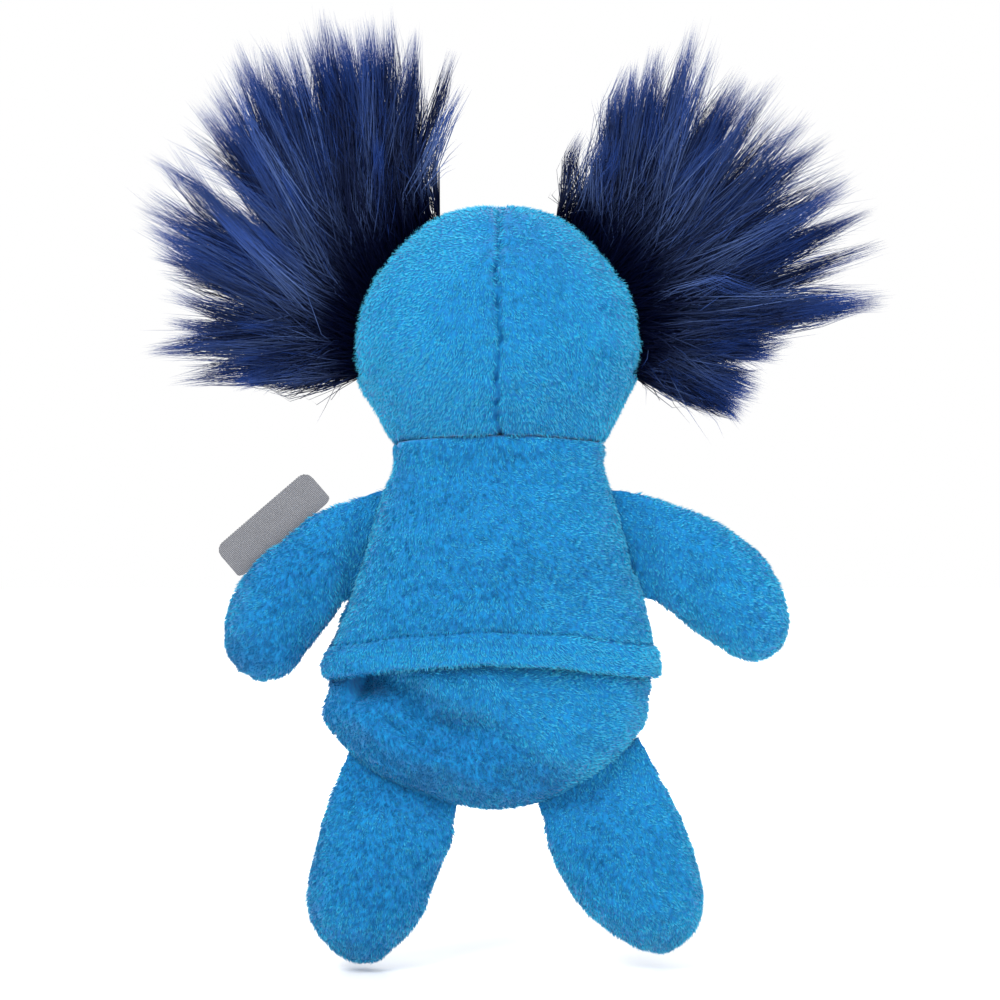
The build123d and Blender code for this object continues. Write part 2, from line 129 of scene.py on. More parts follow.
# ------------------------------------------------------------------ settings
def linear(code):
    """A six-digit sRGB hex colour as linear red, green, blue and alpha."""
    shares = [int(code[i : i + 2], 16) / 255 for i in (0, 2, 4)]
    channels = [c / 12.92 if c <= 0.04045 else ((c + 0.055) / 1.055) ** 2.4 for c in shares]
    return (*channels, 1.0)


def colour(name, description, code):
    """A colour property whose default is an sRGB hex value."""
    return FloatVectorProperty(
        name=name, description=description, subtype="COLOR", size=4, default=linear(code)
    )


class PlushSettings(bpy.types.PropertyGroup):
    """The short pile of the head, body and limbs."""

    pile_length: FloatProperty(
        name="Pile length", description="Length of a fibre", default=2.2 * MM, unit="LENGTH"
    )
    pile_width: FloatProperty(
        name="Pile width",
        description="Width of a fibre, drawn coarse enough to show",
        default=0.39 * MM,
        unit="LENGTH",
    )
    density: FloatProperty(
        name="Density", description="Fibres in each square millimetre", default=2.15
    )
    lift: FloatProperty(
        name="Lift",
        description="Angle between a fibre and its cloth",
        default=radians(33),
        subtype="ANGLE",
    )
    clump: FloatProperty(
        name="Clump", description="Size of the tufts the pile falls into", default=1.3 * MM, unit="LENGTH"
    )
    # The dark root is painted shade deep in the pile and the light tip a painted highlight; shade is the deep end,
    # for darker tufts and for the painted shade of shade().
    root: colour("Root", "Colour at the foot of the pile", "0062A0")
    middle: colour("Middle", "Colour half way up the pile", "12B4E2")
    tip: colour("Tip", "Colour at the end of the pile", "74E0FF")
    shade: colour("Shade", "Colour of the darker fibres", "007EB8")


class FurSettings(bpy.types.PropertyGroup):
    """The two tufts of long hair."""

    strands: IntProperty(name="Strands", description="Strands in each tuft", default=18000)
    width: FloatProperty(
        name="Width", description="Width of a strand at its root", default=0.34 * MM, unit="LENGTH"
    )
    # The near-black root is painted shade at the foot of the hair, and sheen a painted highlight along lighter
    # locks.
    root: colour("Root", "Colour at the foot of the hair", "00031C")
    middle: colour("Middle", "Colour half way along", "040C2A")
    tip: colour("Tip", "Colour at the end of the hair", "264CA4")
    sheen: colour("Sheen", "Colour of the lighter strands", "566EA6")


class FaceSettings(bpy.types.PropertyGroup):
    """Felt, eyes, nose and label."""

    felt_red: colour("Mouth felt", "Felt of the palate and the jaw", "7A1626")
    felt_pink: colour("Tongue felt", "Felt of the tongue", "DB7A86")
    felt_white: colour("Eye felt", "Felt behind the eyes", "F0EFEA")
    eye: colour("Eye", "Moulded safety eyes", "08080A")
    nose: colour("Nose", "Pile of the nose", "16264F")
    label: colour("Label", "Woven label", "66676D")
    label_edge: colour("Label edge", "Cut edge of the label", "C9CACE")


class StageSettings(bpy.types.PropertyGroup):
    """Camera, lamps and floor."""

    lens: FloatProperty(name="Lens", description="Focal length", default=85.0, subtype="NONE")
    view_width: FloatProperty(
        name="View width", description="Width that the camera takes in", default=0.4, unit="LENGTH"
    )
    key: FloatProperty(name="Key lamp", description="Power of the key lamp", default=15.0)
    fill: FloatProperty(name="Fill lamp", description="Power of the fill lamp", default=6.0)
    sky: FloatProperty(name="Sky", description="Strength of the even light", default=0.78)


# ------------------------------------------------------------------ materials
def add_node(tree, kind, inputs=None, **settings):
    """Adds one shader node: settings are its properties, inputs are values or sockets to link."""
    node = tree.nodes.new("ShaderNode" + kind)
    for key, value in settings.items():
        setattr(node, key, value)
    for key, value in (inputs or {}).items():
        if isinstance(value, bpy.types.NodeSocket):
            tree.links.new(value, node.inputs[key])
        else:
            node.inputs[key].default_value = value
    return node


def ramp(tree, factor, stops):
    """A colour ramp through (place, colour) stops."""
    node = add_node(tree, "ValToRGB", {"Fac": factor})
    band = node.color_ramp
    while len(band.elements) < len(stops):
        band.elements.new(0.5)
    for element, (place, value) in zip(band.elements, stops):
        element.position = place
        element.color = value
    return node.outputs["Color"]


def new_material(name, surface):
    """A material with one Principled shader; surface holds its inputs."""
    material = bpy.data.materials.new(name)
    material.use_nodes = True
    tree = material.node_tree
    tree.nodes.clear()
    inputs = surface(tree)
    shader = add_node(tree, "BsdfPrincipled", inputs)
    add_node(tree, "OutputMaterial", {"Surface": shader.outputs["BSDF"]})
    return material


def strand_parts(tree):
    """Tone with painted light, and place along a strand: the two halves of the strand's own UV map."""
    uv = add_node(tree, "UVMap", uv_map="OFBake")
    parts = add_node(tree, "SeparateXYZ", {"Vector": uv.outputs["UV"]})
    return parts.outputs["X"], parts.outputs["Y"]


def pile_material(name, shades):
    """Short polyester pile: soft, no gloss, a little bright where fibres catch the light."""

    def surface(tree):
        tone_and_light, along = strand_parts(tree)
        # Painted shade and highlight: both ramps run from a dark root, painted shade deep in the pile, to a light
        # tip, a painted highlight; the tone picks between the bright and the deep ramp.
        bright = ramp(tree, along, [(0.0, shades[0]), (0.4, shades[1]), (1.0, shades[2])])
        deep = ramp(tree, along, [(0.0, shades[0]), (1.0, shades[3])])
        mixed = add_node(tree, "Mix", {"Factor": tone_and_light}, data_type="RGBA")
        tree.links.new(deep, mixed.inputs["A"])
        tree.links.new(bright, mixed.inputs["B"])
        return {
            "Base Color": mixed.outputs["Result"],
            "Roughness": 0.8,
            "Specular IOR Level": 0.12,
            "Sheen Weight": 0.12,
            "Sheen Roughness": 0.5,
            "Sheen Tint": (0.55, 0.8, 1.0, 1.0),
        }

    return new_material(name, surface)


def fur_material(name, shades):
    """Long acrylic fur: combed fibres with a silky shine, painted near black at the roots as painted shade, with
    painted highlights on lighter locks.
    """

    def surface(tree):
        tone_and_light, along = strand_parts(tree)
        # Painted shade and highlight: both ramps start near black at the root, painted shade, and the light ramp
        # passes the sheen colour, a painted highlight.
        dark = ramp(
            tree,
            along,
            [(0.0, shades[0]), (0.4, shades[1]), (0.8, shades[1]), (1.0, shades[2])],
        )
        light = ramp(
            tree,
            along,
            [(0.0, shades[0]), (0.22, shades[1]), (0.55, shades[3]), (1.0, shades[2])],
        )
        mixed = add_node(tree, "Mix", {"Factor": tone_and_light}, data_type="RGBA")
        tree.links.new(dark, mixed.inputs["A"])
        tree.links.new(light, mixed.inputs["B"])
        return {
            "Base Color": mixed.outputs["Result"],
            "Roughness": 0.5,
            "Specular IOR Level": 0.06,
        }

    return new_material(name, surface)


def cloth_material(name, dark, light):
    """Knitted backing seen between fibres: small streaks and hollows that run down the cloth."""

    def surface(tree):
        place = add_node(tree, "TexCoord").outputs["Object"]
        drawn = add_node(tree, "Mapping", {"Vector": place, "Scale": (1.0, 1.0, 0.45)})
        streaks = add_node(
            tree,
            "TexNoise",
            {"Vector": drawn.outputs["Vector"], "Scale": 1 / (1.2 * MM), "Detail": 3.0},
        )
        value = streaks.outputs["Fac"]
        bump = add_node(
            tree, "Bump", {"Height": value, "Strength": 0.7, "Distance": 0.35 * MM}
        )
        return {
            "Base Color": ramp(tree, value, [(0.35, dark), (0.65, light)]),
            "Roughness": 0.85,
            "Specular IOR Level": 0.2,
            "Sheen Weight": 0.3,
            "Normal": bump.outputs["Normal"],
        }

    return new_material(name, surface)


def felt_material(name, value, grain=0.5):
    """Pressed felt: matt, matted fibres half a millimetre apart."""

    def surface(tree):
        place = add_node(tree, "TexCoord").outputs["Object"]
        fibres = add_node(
            tree, "TexNoise", {"Vector": place, "Scale": 1 / (grain * MM), "Detail": 4.0}
        )
        clouds = add_node(tree, "TexNoise", {"Vector": place, "Scale": 1 / (6 * MM)})
        darker = tuple(c * 0.62 for c in value[:3]) + (1.0,)
        bump = add_node(
            tree, "Bump", {"Height": fibres.outputs["Fac"], "Strength": 0.5, "Distance": 0.2 * MM}
        )
        blend = add_node(tree, "Mix", {"Factor": clouds.outputs["Fac"]}, data_type="RGBA")
        fine = ramp(tree, fibres.outputs["Fac"], [(0.3, darker), (0.6, value)])
        tree.links.new(fine, blend.inputs["A"])
        blend.inputs["B"].default_value = value
        return {
            "Base Color": blend.outputs["Result"],
            "Roughness": 0.9,
            "Specular IOR Level": 0.15,
            "Sheen Weight": 0.4,
            "Normal": bump.outputs["Normal"],
        }

    return new_material(name, surface)


def gloss_material(name, value, roughness=0.12):
    """Moulded plastic: a hard coat with faint flow marks and fine scratches."""

    def surface(tree):
        place = add_node(tree, "TexCoord").outputs["Object"]
        flow = add_node(tree, "TexNoise", {"Vector": place, "Scale": 1 / (3 * MM), "Detail": 2.0})
        rough = add_node(
            tree,
            "MapRange",
            {"Value": flow.outputs["Fac"], "To Min": roughness * 0.7, "To Max": roughness * 1.5},
        )
        lighter = tuple(min(1.0, c * 1.25 + 0.004) for c in value[:3]) + (1.0,)
        return {
            "Base Color": ramp(tree, flow.outputs["Fac"], [(0.35, value), (0.75, lighter)]),
            "Roughness": rough.outputs["Result"],
            "Coat Weight": 0.5,
            "Coat Roughness": 0.05,
        }

    return new_material(name, surface)


def label_material(name, value, edge):
    """Damask-woven label: fine ribs across its length, crossed by finer ones."""

    def surface(tree):
        place = add_node(tree, "TexCoord").outputs["Object"]
        run = LABEL_END - LABEL_START
        tilt = float(np.arctan2(-run[1], run[0]))
        turned = add_node(
            tree, "Mapping", {"Vector": place, "Rotation": (0.0, -tilt, 0.0)}
        ).outputs["Vector"]
        wave = {"Vector": turned, "Scale": 0.314 / (0.42 * MM)}
        ribs = add_node(tree, "TexWave", wave, bands_direction="X")
        wave = {"Vector": turned, "Scale": 0.314 / (0.6 * MM)}
        picks = add_node(tree, "TexWave", wave, bands_direction="Z")
        both = add_node(
            tree, "Math", {0: ribs.outputs["Fac"], 1: picks.outputs["Fac"]}, operation="MULTIPLY"
        )
        clouds = add_node(tree, "TexNoise", {"Vector": place, "Scale": 1 / (5 * MM)})
        mixed = add_node(
            tree,
            "Math",
            {0: clouds.outputs["Fac"], 1: 0.15, 2: both.outputs[0]},
            operation="MULTIPLY_ADD",
        )
        dark = tuple(c * 0.72 for c in value[:3]) + (1.0,)
        bump = add_node(
            tree, "Bump", {"Height": both.outputs[0], "Strength": 0.5, "Distance": 0.12 * MM}
        )
        return {
            "Base Color": ramp(tree, mixed.outputs[0], [(0.3, dark), (0.6, value), (1.0, edge)]),
            "Roughness": 0.6,
            "Specular IOR Level": 0.3,
            "Sheen Weight": 0.2,
            "Normal": bump.outputs["Normal"],
        }

    return new_material(name, surface)


def floor_material(name):
    """Plain white paint that keeps the puppet's shadow."""

    def surface(tree):
        place = add_node(tree, "TexCoord").outputs["Object"]
        grain = add_node(tree, "TexNoise", {"Vector": place, "Scale": 40.0})
        pale = [(0.3, linear("F6F6F6")), (0.7, linear("F9F9F9"))]
        away = add_node(tree, "VectorMath", {0: place}, operation="LENGTH")
        far = add_node(
            tree, "MapRange", {"Value": away.outputs["Value"], "From Min": 0.16, "From Max": 0.5}
        )
        seen = add_node(
            tree,
            "Math",
            {0: far.outputs["Result"], 1: add_node(tree, "LightPath").outputs["Is Camera Ray"]},
            operation="MULTIPLY",
        )
        return {
            "Base Color": ramp(tree, grain.outputs["Fac"], pale),
            "Roughness": 0.9,
            "Emission Color": (1.0, 1.0, 1.0, 1.0),
            "Emission Strength": seen.outputs[0],
        }

    return new_material(name, surface)


# ------------------------------------------------------------------ numpy helpers
def unit(vectors):
    """Each row divided by its length."""
    return vectors / np.maximum(np.linalg.norm(vectors, axis=-1, keepdims=True), 1e-9)


def through(xs, ys, x):
    """A cubic Hermite curve through (xs, ys): each point's slope is that of its neighbours."""
    xs, ys = np.asarray(xs, float), np.asarray(ys, float)
    slopes = np.gradient(ys, xs)
    i = np.clip(np.searchsorted(xs, x, side="right") - 1, 0, len(xs) - 2)
    step = xs[i + 1] - xs[i]
    t = (x - xs[i]) / step
    start = (1 + 2 * t) * (1 - t) ** 2 * ys[i] + t * (1 - t) ** 2 * step * slopes[i]
    end = t * t * (3 - 2 * t) * ys[i + 1] + t * t * (t - 1) * step * slopes[i + 1]
    return start + end


def ripple(points, size, seed):
    """Smooth noise from about -1 to 1: eight plane waves of about that length, summed."""
    rng = np.random.default_rng(seed)
    turns = unit(rng.normal(size=(8, 3))) * (2 * pi / (size * rng.uniform(0.7, 1.5, (8, 1))))
    return np.sin(points @ turns.T + rng.uniform(0, 2 * pi, 8)).sum(-1) / 3.2


def ease(x):
    """0 below 0, 1 above 1 and a smooth step between: 3x squared less 2x cubed."""
    x = np.clip(x, 0, 1)
    return x * x * (3 - 2 * x)


def grid_faces(rows, columns, wrap=False, first=0):
    """Quads between the points of a grid; wrap joins the last column to the first."""
    r = np.arange(rows - 1)[:, None]
    c = np.arange(columns if wrap else columns - 1)[None, :]
    after = (c + 1) % columns
    corners = [r * columns + c, r * columns + after, (r + 1) * columns + after, (r + 1) * columns + c]
    return np.stack(corners, -1).reshape(-1, 4) + first


def new_piece(name, points, face_sets, material, smooth=True, uv=None):
    """Puts points (mm) and arrays of faces into a mesh object that sits at the origin."""
    corners = np.concatenate([np.asarray(faces).ravel() for faces in face_sets]).astype(np.int32)
    sizes = np.concatenate([np.full(len(faces), np.shape(faces)[1]) for faces in face_sets])
    mesh = bpy.data.meshes.new(name)
    mesh.vertices.add(len(points))
    mesh.vertices.foreach_set("co", (np.asarray(points) * MM).astype(np.float32).ravel())
    mesh.loops.add(len(corners))
    mesh.loops.foreach_set("vertex_index", corners)
    mesh.polygons.add(len(sizes))
    starts = np.concatenate([[0], np.cumsum(sizes)[:-1]]).astype(np.int32)
    mesh.polygons.foreach_set("loop_start", starts)
    mesh.polygons.foreach_set("use_smooth", np.full(len(sizes), smooth))
    if uv is not None:
        layer = mesh.uv_layers.new(name="OFBake")
        layer.data.foreach_set("uv", uv.astype(np.float32).ravel())
    mesh.update(calc_edges=True)
    mesh.validate()
    mesh.materials.append(material)
    piece = bpy.data.objects.new(name, mesh)
    bpy.context.scene.collection.objects.link(piece)
    return piece


def settle(piece):
    """Replaces a piece's mesh by what its modifiers make of it."""
    graph = bpy.context.evaluated_depsgraph_get()
    final = bpy.data.meshes.new_from_object(piece.evaluated_get(graph))
    piece.modifiers.clear()
    old = piece.data
    piece.data = final
    bpy.data.meshes.remove(old)
    return piece


def thicken(piece, thickness):
    """Gives a sheet of cloth its thickness, inwards."""
    wall = piece.modifiers.new("wall", "SOLIDIFY")
    wall.thickness = thickness * MM
    wall.offset = -1
    wall.use_even_offset = False
    return settle(piece)


def read_mesh(piece):
    """A mesh's points (mm), triangles and point normals as arrays."""
    mesh = piece.data
    mesh.calc_loop_triangles()
    points = np.empty(len(mesh.vertices) * 3, np.float32)
    mesh.vertices.foreach_get("co", points)
    corners = np.empty(len(mesh.loop_triangles) * 3, np.int32)
    mesh.loop_triangles.foreach_get("vertices", corners)
    normals = np.empty(len(mesh.vertices) * 3, np.float32)
    mesh.vertex_normals.foreach_get("vector", normals)
    return points.reshape(-1, 3) / MM, corners.reshape(-1, 3), normals.reshape(-1, 3)


def scatter(surface, per_mm2, rng, keep=None):
    """Random places on a surface, evenly by area, with their normals; keep says which stay."""
    points, triangles, normals = surface
    a, b, c = (points[triangles[:, k]] for k in range(3))
    areas = np.linalg.norm(np.cross(b - a, c - a), axis=1) / 2
    count = int(areas.sum() * per_mm2)
    chosen = rng.choice(len(triangles), count, p=areas / areas.sum())
    u, v = np.sqrt(rng.random((count, 1))), rng.random((count, 1))
    shares = [1 - u, u * (1 - v), u * v]
    corners = triangles[chosen]
    places = sum(share * points[corners[:, k]] for k, share in enumerate(shares))
    facing = unit(sum(share * normals[corners[:, k]] for k, share in enumerate(shares)))
    if keep is not None:
        stay = keep(places, facing)
        places, facing = places[stay], facing[stay]
    return places, facing


def tufts(places, across, cell, stretch):
    """The tuft each fibre belongs to: that of the nearest of a jittered lattice of centres.

    Distances across the nap count 1 / stretch, so the tufts are wider than they are long.
    """
    base = np.floor(places / cell).astype(np.int64)
    best = np.full(len(places), np.inf)
    mine = np.zeros(len(places), np.int64)
    for step in np.ndindex(3, 3, 3):
        key = base + np.array(step) - 1
        mixed = (key * LATTICE_PRIMES).sum(1)
        jitter = np.stack([np.sin(mixed * k) * 43758.5453 % 1.0 for k in (0.37, 0.71, 1.13)], 1)
        away = places - (key + jitter) * cell
        side = (away * across).sum(1)
        distance = (away**2).sum(1) + side**2 * (1 / stretch**2 - 1)
        nearer = distance < best
        best = np.where(nearer, distance, best)
        mine = np.where(nearer, mixed, mine)
    return np.unique(mine, return_inverse=True)[1].ravel()


def group_means(values, groups):
    """For each row, the mean of the rows in its group."""
    counts = np.bincount(groups)
    return np.stack([np.bincount(groups, column) / counts for column in values.T], 1)[groups]


def pile(name, surface, material, nap, seed, keep=None, length=1.0, density=1.0):
    """Short pile: three-sided spikes that lean along the nap and gather into small tufts."""
    plush = bpy.context.scene.puppet_plush
    rng = np.random.default_rng(seed)
    places, facing = scatter(surface, plush.density * density, rng, keep)
    count = len(places)
    along = nap(places)
    along = unit(along - (along * facing).sum(1, keepdims=True) * facing)
    side = np.cross(facing, along)
    groups = tufts(places, side, plush.clump / MM, 2.0)
    own = rng.random(groups.max() + 1)[groups]
    swing = rng.normal(0, 0.16, (count, 1)) + 0.5 * (own[:, None] - 0.5)
    along = along * np.cos(swing) + side * np.sin(swing)
    raised = plush.lift * (0.7 + 0.6 * own[:, None]) * rng.uniform(0.8, 1.2, (count, 1))
    reach = plush.pile_length / MM * length * rng.uniform(0.75, 1.15, (count, 1))
    tips = places + (along * np.cos(raised) + facing * np.sin(raised)) * reach
    tips += (group_means(tips, groups) - tips) * 0.45 * rng.uniform(0.5, 1.3, (count, 1))
    spine = unit(tips - places)
    across = unit(np.cross(spine, facing))
    up = np.cross(across, spine)
    foot = places - facing * 0.25
    half = plush.pile_width / MM / 2 * rng.uniform(0.75, 1.25, (count, 1))
    turns = [radians(degrees) for degrees in (90, 210, 330)]
    ring = [foot + half * (across * cos(t) + up * sin(t)) for t in turns]
    points = np.stack([*ring, tips], 1).reshape(-1, 3)
    pattern = np.array([[0, 1, 3], [1, 2, 3], [2, 0, 3], [0, 2, 1]])
    faces = (np.arange(count)[:, None, None] * 4 + pattern).reshape(-1, 3)
    # The tone mixes random patches and tufts with painted light and shade from shade().
    patches = 0.12 * ripple(places, 30.0, 90) + 0.12 * ripple(places, 9.0, 91)
    loose = 0.3 * (rng.random(count) - 0.5) + 0.95 * (own - 0.5)
    tone_and_light = np.clip(0.5 + patches + loose + shade(places), 0.02, 0.98)
    uv = np.empty((count, 4, 3, 2))
    uv[..., 0] = tone_and_light[:, None, None]
    uv[..., 1] = 0.03  # the foot
    uv[:, :3, 2, 1] = 0.97  # the tip, the last corner of the three sides
    return new_piece(name, points, [faces], material, smooth=True, uv=uv.reshape(-1, 2))


def outward_faces(points, faces):
    """Faces in the order that makes a closed surface's volume positive."""
    a, b, c = points[faces[:, 0]], points[faces[:, 1]], points[faces[:, 2]]
    volume = (a * np.cross(b, c)).sum()
    if faces.shape[1] == 4:
        d = points[faces[:, 3]]
        volume += (a * np.cross(c, d)).sum()
    return faces if volume > 0 else faces[:, ::-1]


# ------------------------------------------------------------------ shape of the puppet
# Above the neck: share of the height, of the half width, of the front and of the back.
HEAD_ROWS = np.array([
    (0.000, 0.7345, 0.442, 0.600),
    (0.237, 0.931, 0.90, 0.925),
    (0.366, 1.000, 1.00, 1.000),
    (0.559, 0.950, 0.94, 0.950),
    (0.710, 0.830, 0.83, 0.850),
    (0.817, 0.705, 0.69, 0.700),
    (0.903, 0.552, 0.53, 0.540),
    (0.968, 0.350, 0.32, 0.330),
    (1.000, 0.000, 0.00, 0.000),
])
# Below the neck: share of the drop, of the hips, of the belly and of the back.
TORSO_ROWS = np.array([
    (0.000, 0.6455, 0.461, 0.774),
    (0.068, 0.641, 0.50, 0.74),
    (0.136, 0.685, 0.64, 0.82),
    (0.286, 0.791, 0.90, 0.96),
    (0.435, 0.897, 1.00, 1.00),
    (0.517, 0.955, 1.00, 1.00),
    (0.599, 1.000, 0.98, 0.97),
    (0.667, 0.979, 0.93, 0.93),
    (0.748, 0.930, 0.85, 0.85),
    (0.816, 0.818, 0.76, 0.76),
    (0.884, 0.652, 0.62, 0.62),
    (0.939, 0.455, 0.46, 0.46),
    (0.980, 0.258, 0.28, 0.28),
    (1.000, 0.000, 0.00, 0.00),
])
# A limb's two edges as (x, z) and half its thickness, from its seam to its tip.
LIMB_ROWS = {
    "arm_left": [
        (45.9, 64.0, 59.7, 20.5, 0.3), (54.0, 62.0, 62.8, 17.5, 3.6),
        (66.0, 57.8, 66.6, 12.5, 9.0), (78.0, 51.2, 70.6, 7.6, 12.5),
        (92.0, 39.4, 75.0, 1.6, 15.0), (103.6, 27.0, 81.0, -6.0, 15.5),
        (108.6, 14.0, 87.0, -10.4, 13.5), (109.0, 2.0, 94.0, -12.4, 9.0),
        (105.6, -4.6, 100.0, -9.4, 3.0), (103.6, -8.2, 103.4, -8.4, 0.0),
    ],
    "arm_right": [
        (-45.9, 64.0, -59.7, 20.5, 0.3), (-54.0, 63.4, -63.6, 19.0, 3.6),
        (-66.0, 59.8, -68.8, 16.0, 9.0), (-79.0, 54.8, -74.6, 11.8, 12.5),
        (-93.0, 47.6, -82.4, 4.8, 15.0), (-105.0, 38.4, -90.0, -0.4, 15.5),
        (-112.8, 26.4, -97.6, -3.6, 13.5), (-116.0, 13.6, -104.6, -3.8, 9.0),
        (-114.6, 5.6, -110.4, -0.8, 3.0), (-113.6, 1.6, -113.4, 1.4, 0.0),
    ],
    "leg_left": [
        (57.6, -37.2, 16.6, -63.8, 0.3), (62.0, -45.6, 16.8, -67.6, 3.6),
        (67.0, -58.6, 17.8, -73.6, 10.0), (71.8, -73.4, 21.4, -82.6, 14.5),
        (75.2, -88.6, 26.0, -94.6, 17.5), (76.2, -102.4, 30.8, -105.4, 17.5),
        (72.6, -113.0, 36.8, -114.4, 14.5), (64.4, -121.0, 44.2, -121.6, 9.0),
        (57.2, -124.0, 49.4, -124.2, 3.0), (53.5, -124.5, 53.1, -124.5, 0.0),
    ],
    "leg_right": [
        (-57.6, -37.2, -16.6, -63.8, 0.3), (-62.6, -45.0, -16.8, -67.4, 3.6),
        (-69.0, -57.4, -18.2, -73.2, 10.0), (-76.0, -72.4, -21.8, -82.6, 14.5),
        (-80.4, -87.6, -27.8, -94.2, 17.5), (-82.4, -100.0, -34.4, -103.4, 17.5),
        (-79.4, -110.6, -42.6, -110.6, 14.5), (-72.8, -117.6, -52.8, -117.2, 9.0),
        (-67.4, -120.2, -60.6, -120.0, 3.0), (-64.2, -120.6, -63.8, -120.6, 0.0),
    ],
}
# Tips of the locks of each tuft, from the crown round to the cheek: distance to the side, z.
HAIR_TIPS = {
    "hair_left": [
        (14, 226), (18, 240), (33, 248), (43, 254), (55, 251), (62, 250), (71, 255), (82, 246),
        (94, 244), (104, 242), (113, 230), (122, 219), (131, 201), (139, 197), (146, 178),
        (142, 169), (138, 157), (133, 132), (141, 120), (132, 107), (102, 106), (76, 108),
    ],
    "hair_right": [
        (33, 208), (41, 222), (52, 235), (66, 243), (79, 250), (88, 240), (100, 230), (112, 228),
        (126, 214), (133, 206), (141, 189), (149, 176), (155, 162), (156, 139), (138, 137),
        (114, 133), (118, 124), (113, 117), (104, 102), (97, 92), (87, 96), (72, 107),
    ],
}
HAIR_SEAM = (114.0, 169.0)  # heights between which the hair is sewn into the side seam


def ring_sizes(rows, share, wide, front, back):
    """Half width, middle and half depth of a level oval at a share of the height.

    The table is read along s = 1 - sqrt(1 - share), so that the end closes round.
    """
    s = 1 - np.sqrt(np.clip(1 - share, 0, 1))
    knots = 1 - np.sqrt(1 - rows[:, 0])
    w, f, b = (through(knots, rows[:, k], s) for k in (1, 2, 3))
    return w * wide, (b * back - f * front) / 2, (b * back + f * front) / 2


def head_ring(z, inset=PILE_ROOM):
    """Half width, middle and half depth of the head at height z."""
    share = (z - NECK_Z) / (CROWN_Z - NECK_Z)
    w, middle, half = ring_sizes(HEAD_ROWS, share, HEAD_WIDE, HEAD_FRONT, HEAD_BACK)
    return np.maximum(w - inset, 0), middle, np.maximum(half - inset, 0)


def torso_ring(z, inset=PILE_ROOM):
    """Half width, middle and half depth of the body at height z."""
    share = (NECK_Z - z) / (NECK_Z - SEAT_Z)
    w, middle, half = ring_sizes(TORSO_ROWS, share, HIP_WIDE, BELLY, BACK)
    return np.maximum(w - inset, 0), middle, np.maximum(half - inset, 0)


def lean(x, z):
    """How far the body's lower half hangs to the puppet's left: most on that side."""
    hips = 3.4 * ease((24 - z) / 34)
    left = hips + 6.0 * ease((-14 - z) / 14) * ease((z - SEAT_Z) / 16)
    right = hips * ease((z + 36) / 20)
    side = ease((x + 30) / 60)
    return right + (left - right) * side


def neck_line(x):
    """Height of the neck seam: an arch that drops towards the sides."""
    return NECK_Z - NECK_DIP + NECK_ARCH * (1 - (x / NECK_HALF) ** 2)


def hem_line(x):
    """Height of the hem's edge: an arch that drops towards the hips, a little wavy."""
    arch = -2.0 - 6.5 * (np.abs(x) / 62.0) ** 1.7
    return arch + 0.25 * np.sin(x / 5.3 + 0.8) + 0.12 * np.sin(x / 2.6)


def crease(x, z):
    """Distance below the seat's slack crease, and along it from the left end of the hem."""
    return (x - 47) * 0.512 - (z + 4) * 0.859, (47 - x) * 0.859 - (z + 4) * 0.512


def throat_y(z):
    """Where the flat throat stands at height z."""
    return HINGE[1] - (MOUTH_Z - z) / tan(THROAT_ANGLE)


def back_seam(z):
    """How far the seam at the back of the head wanders to the side at height z."""
    return 0.7 * np.sin(z / 7.1) + 0.4 * np.sin(z / 2.9 + 1) + 0.3 * np.sin(z / 1.7 + 2)


def valley(distance, width):
    """A groove's profile: 1 at its line and 0 a few widths away, exp(-(d/w)^2)."""
    return np.exp(-((distance / width) ** 2))


def oval_out(angle, w, half):
    """The direction outwards, in x and y, of a level oval at each angle round it."""
    return unit(np.stack([np.cos(angle) * half, np.sin(angle) * w], -1) + 1e-9)


def end_fans(rows, columns):
    """Triangles that close a tube's two ends, to the two points that follow its grid."""
    first, last = np.arange(columns), (rows - 1) * columns + np.arange(columns)
    tip = np.full(columns, rows * columns)
    return np.concatenate([
        np.stack([np.roll(first, -1), first, tip], 1),
        np.stack([last, np.roll(last, -1), tip + 1], 1),
    ])


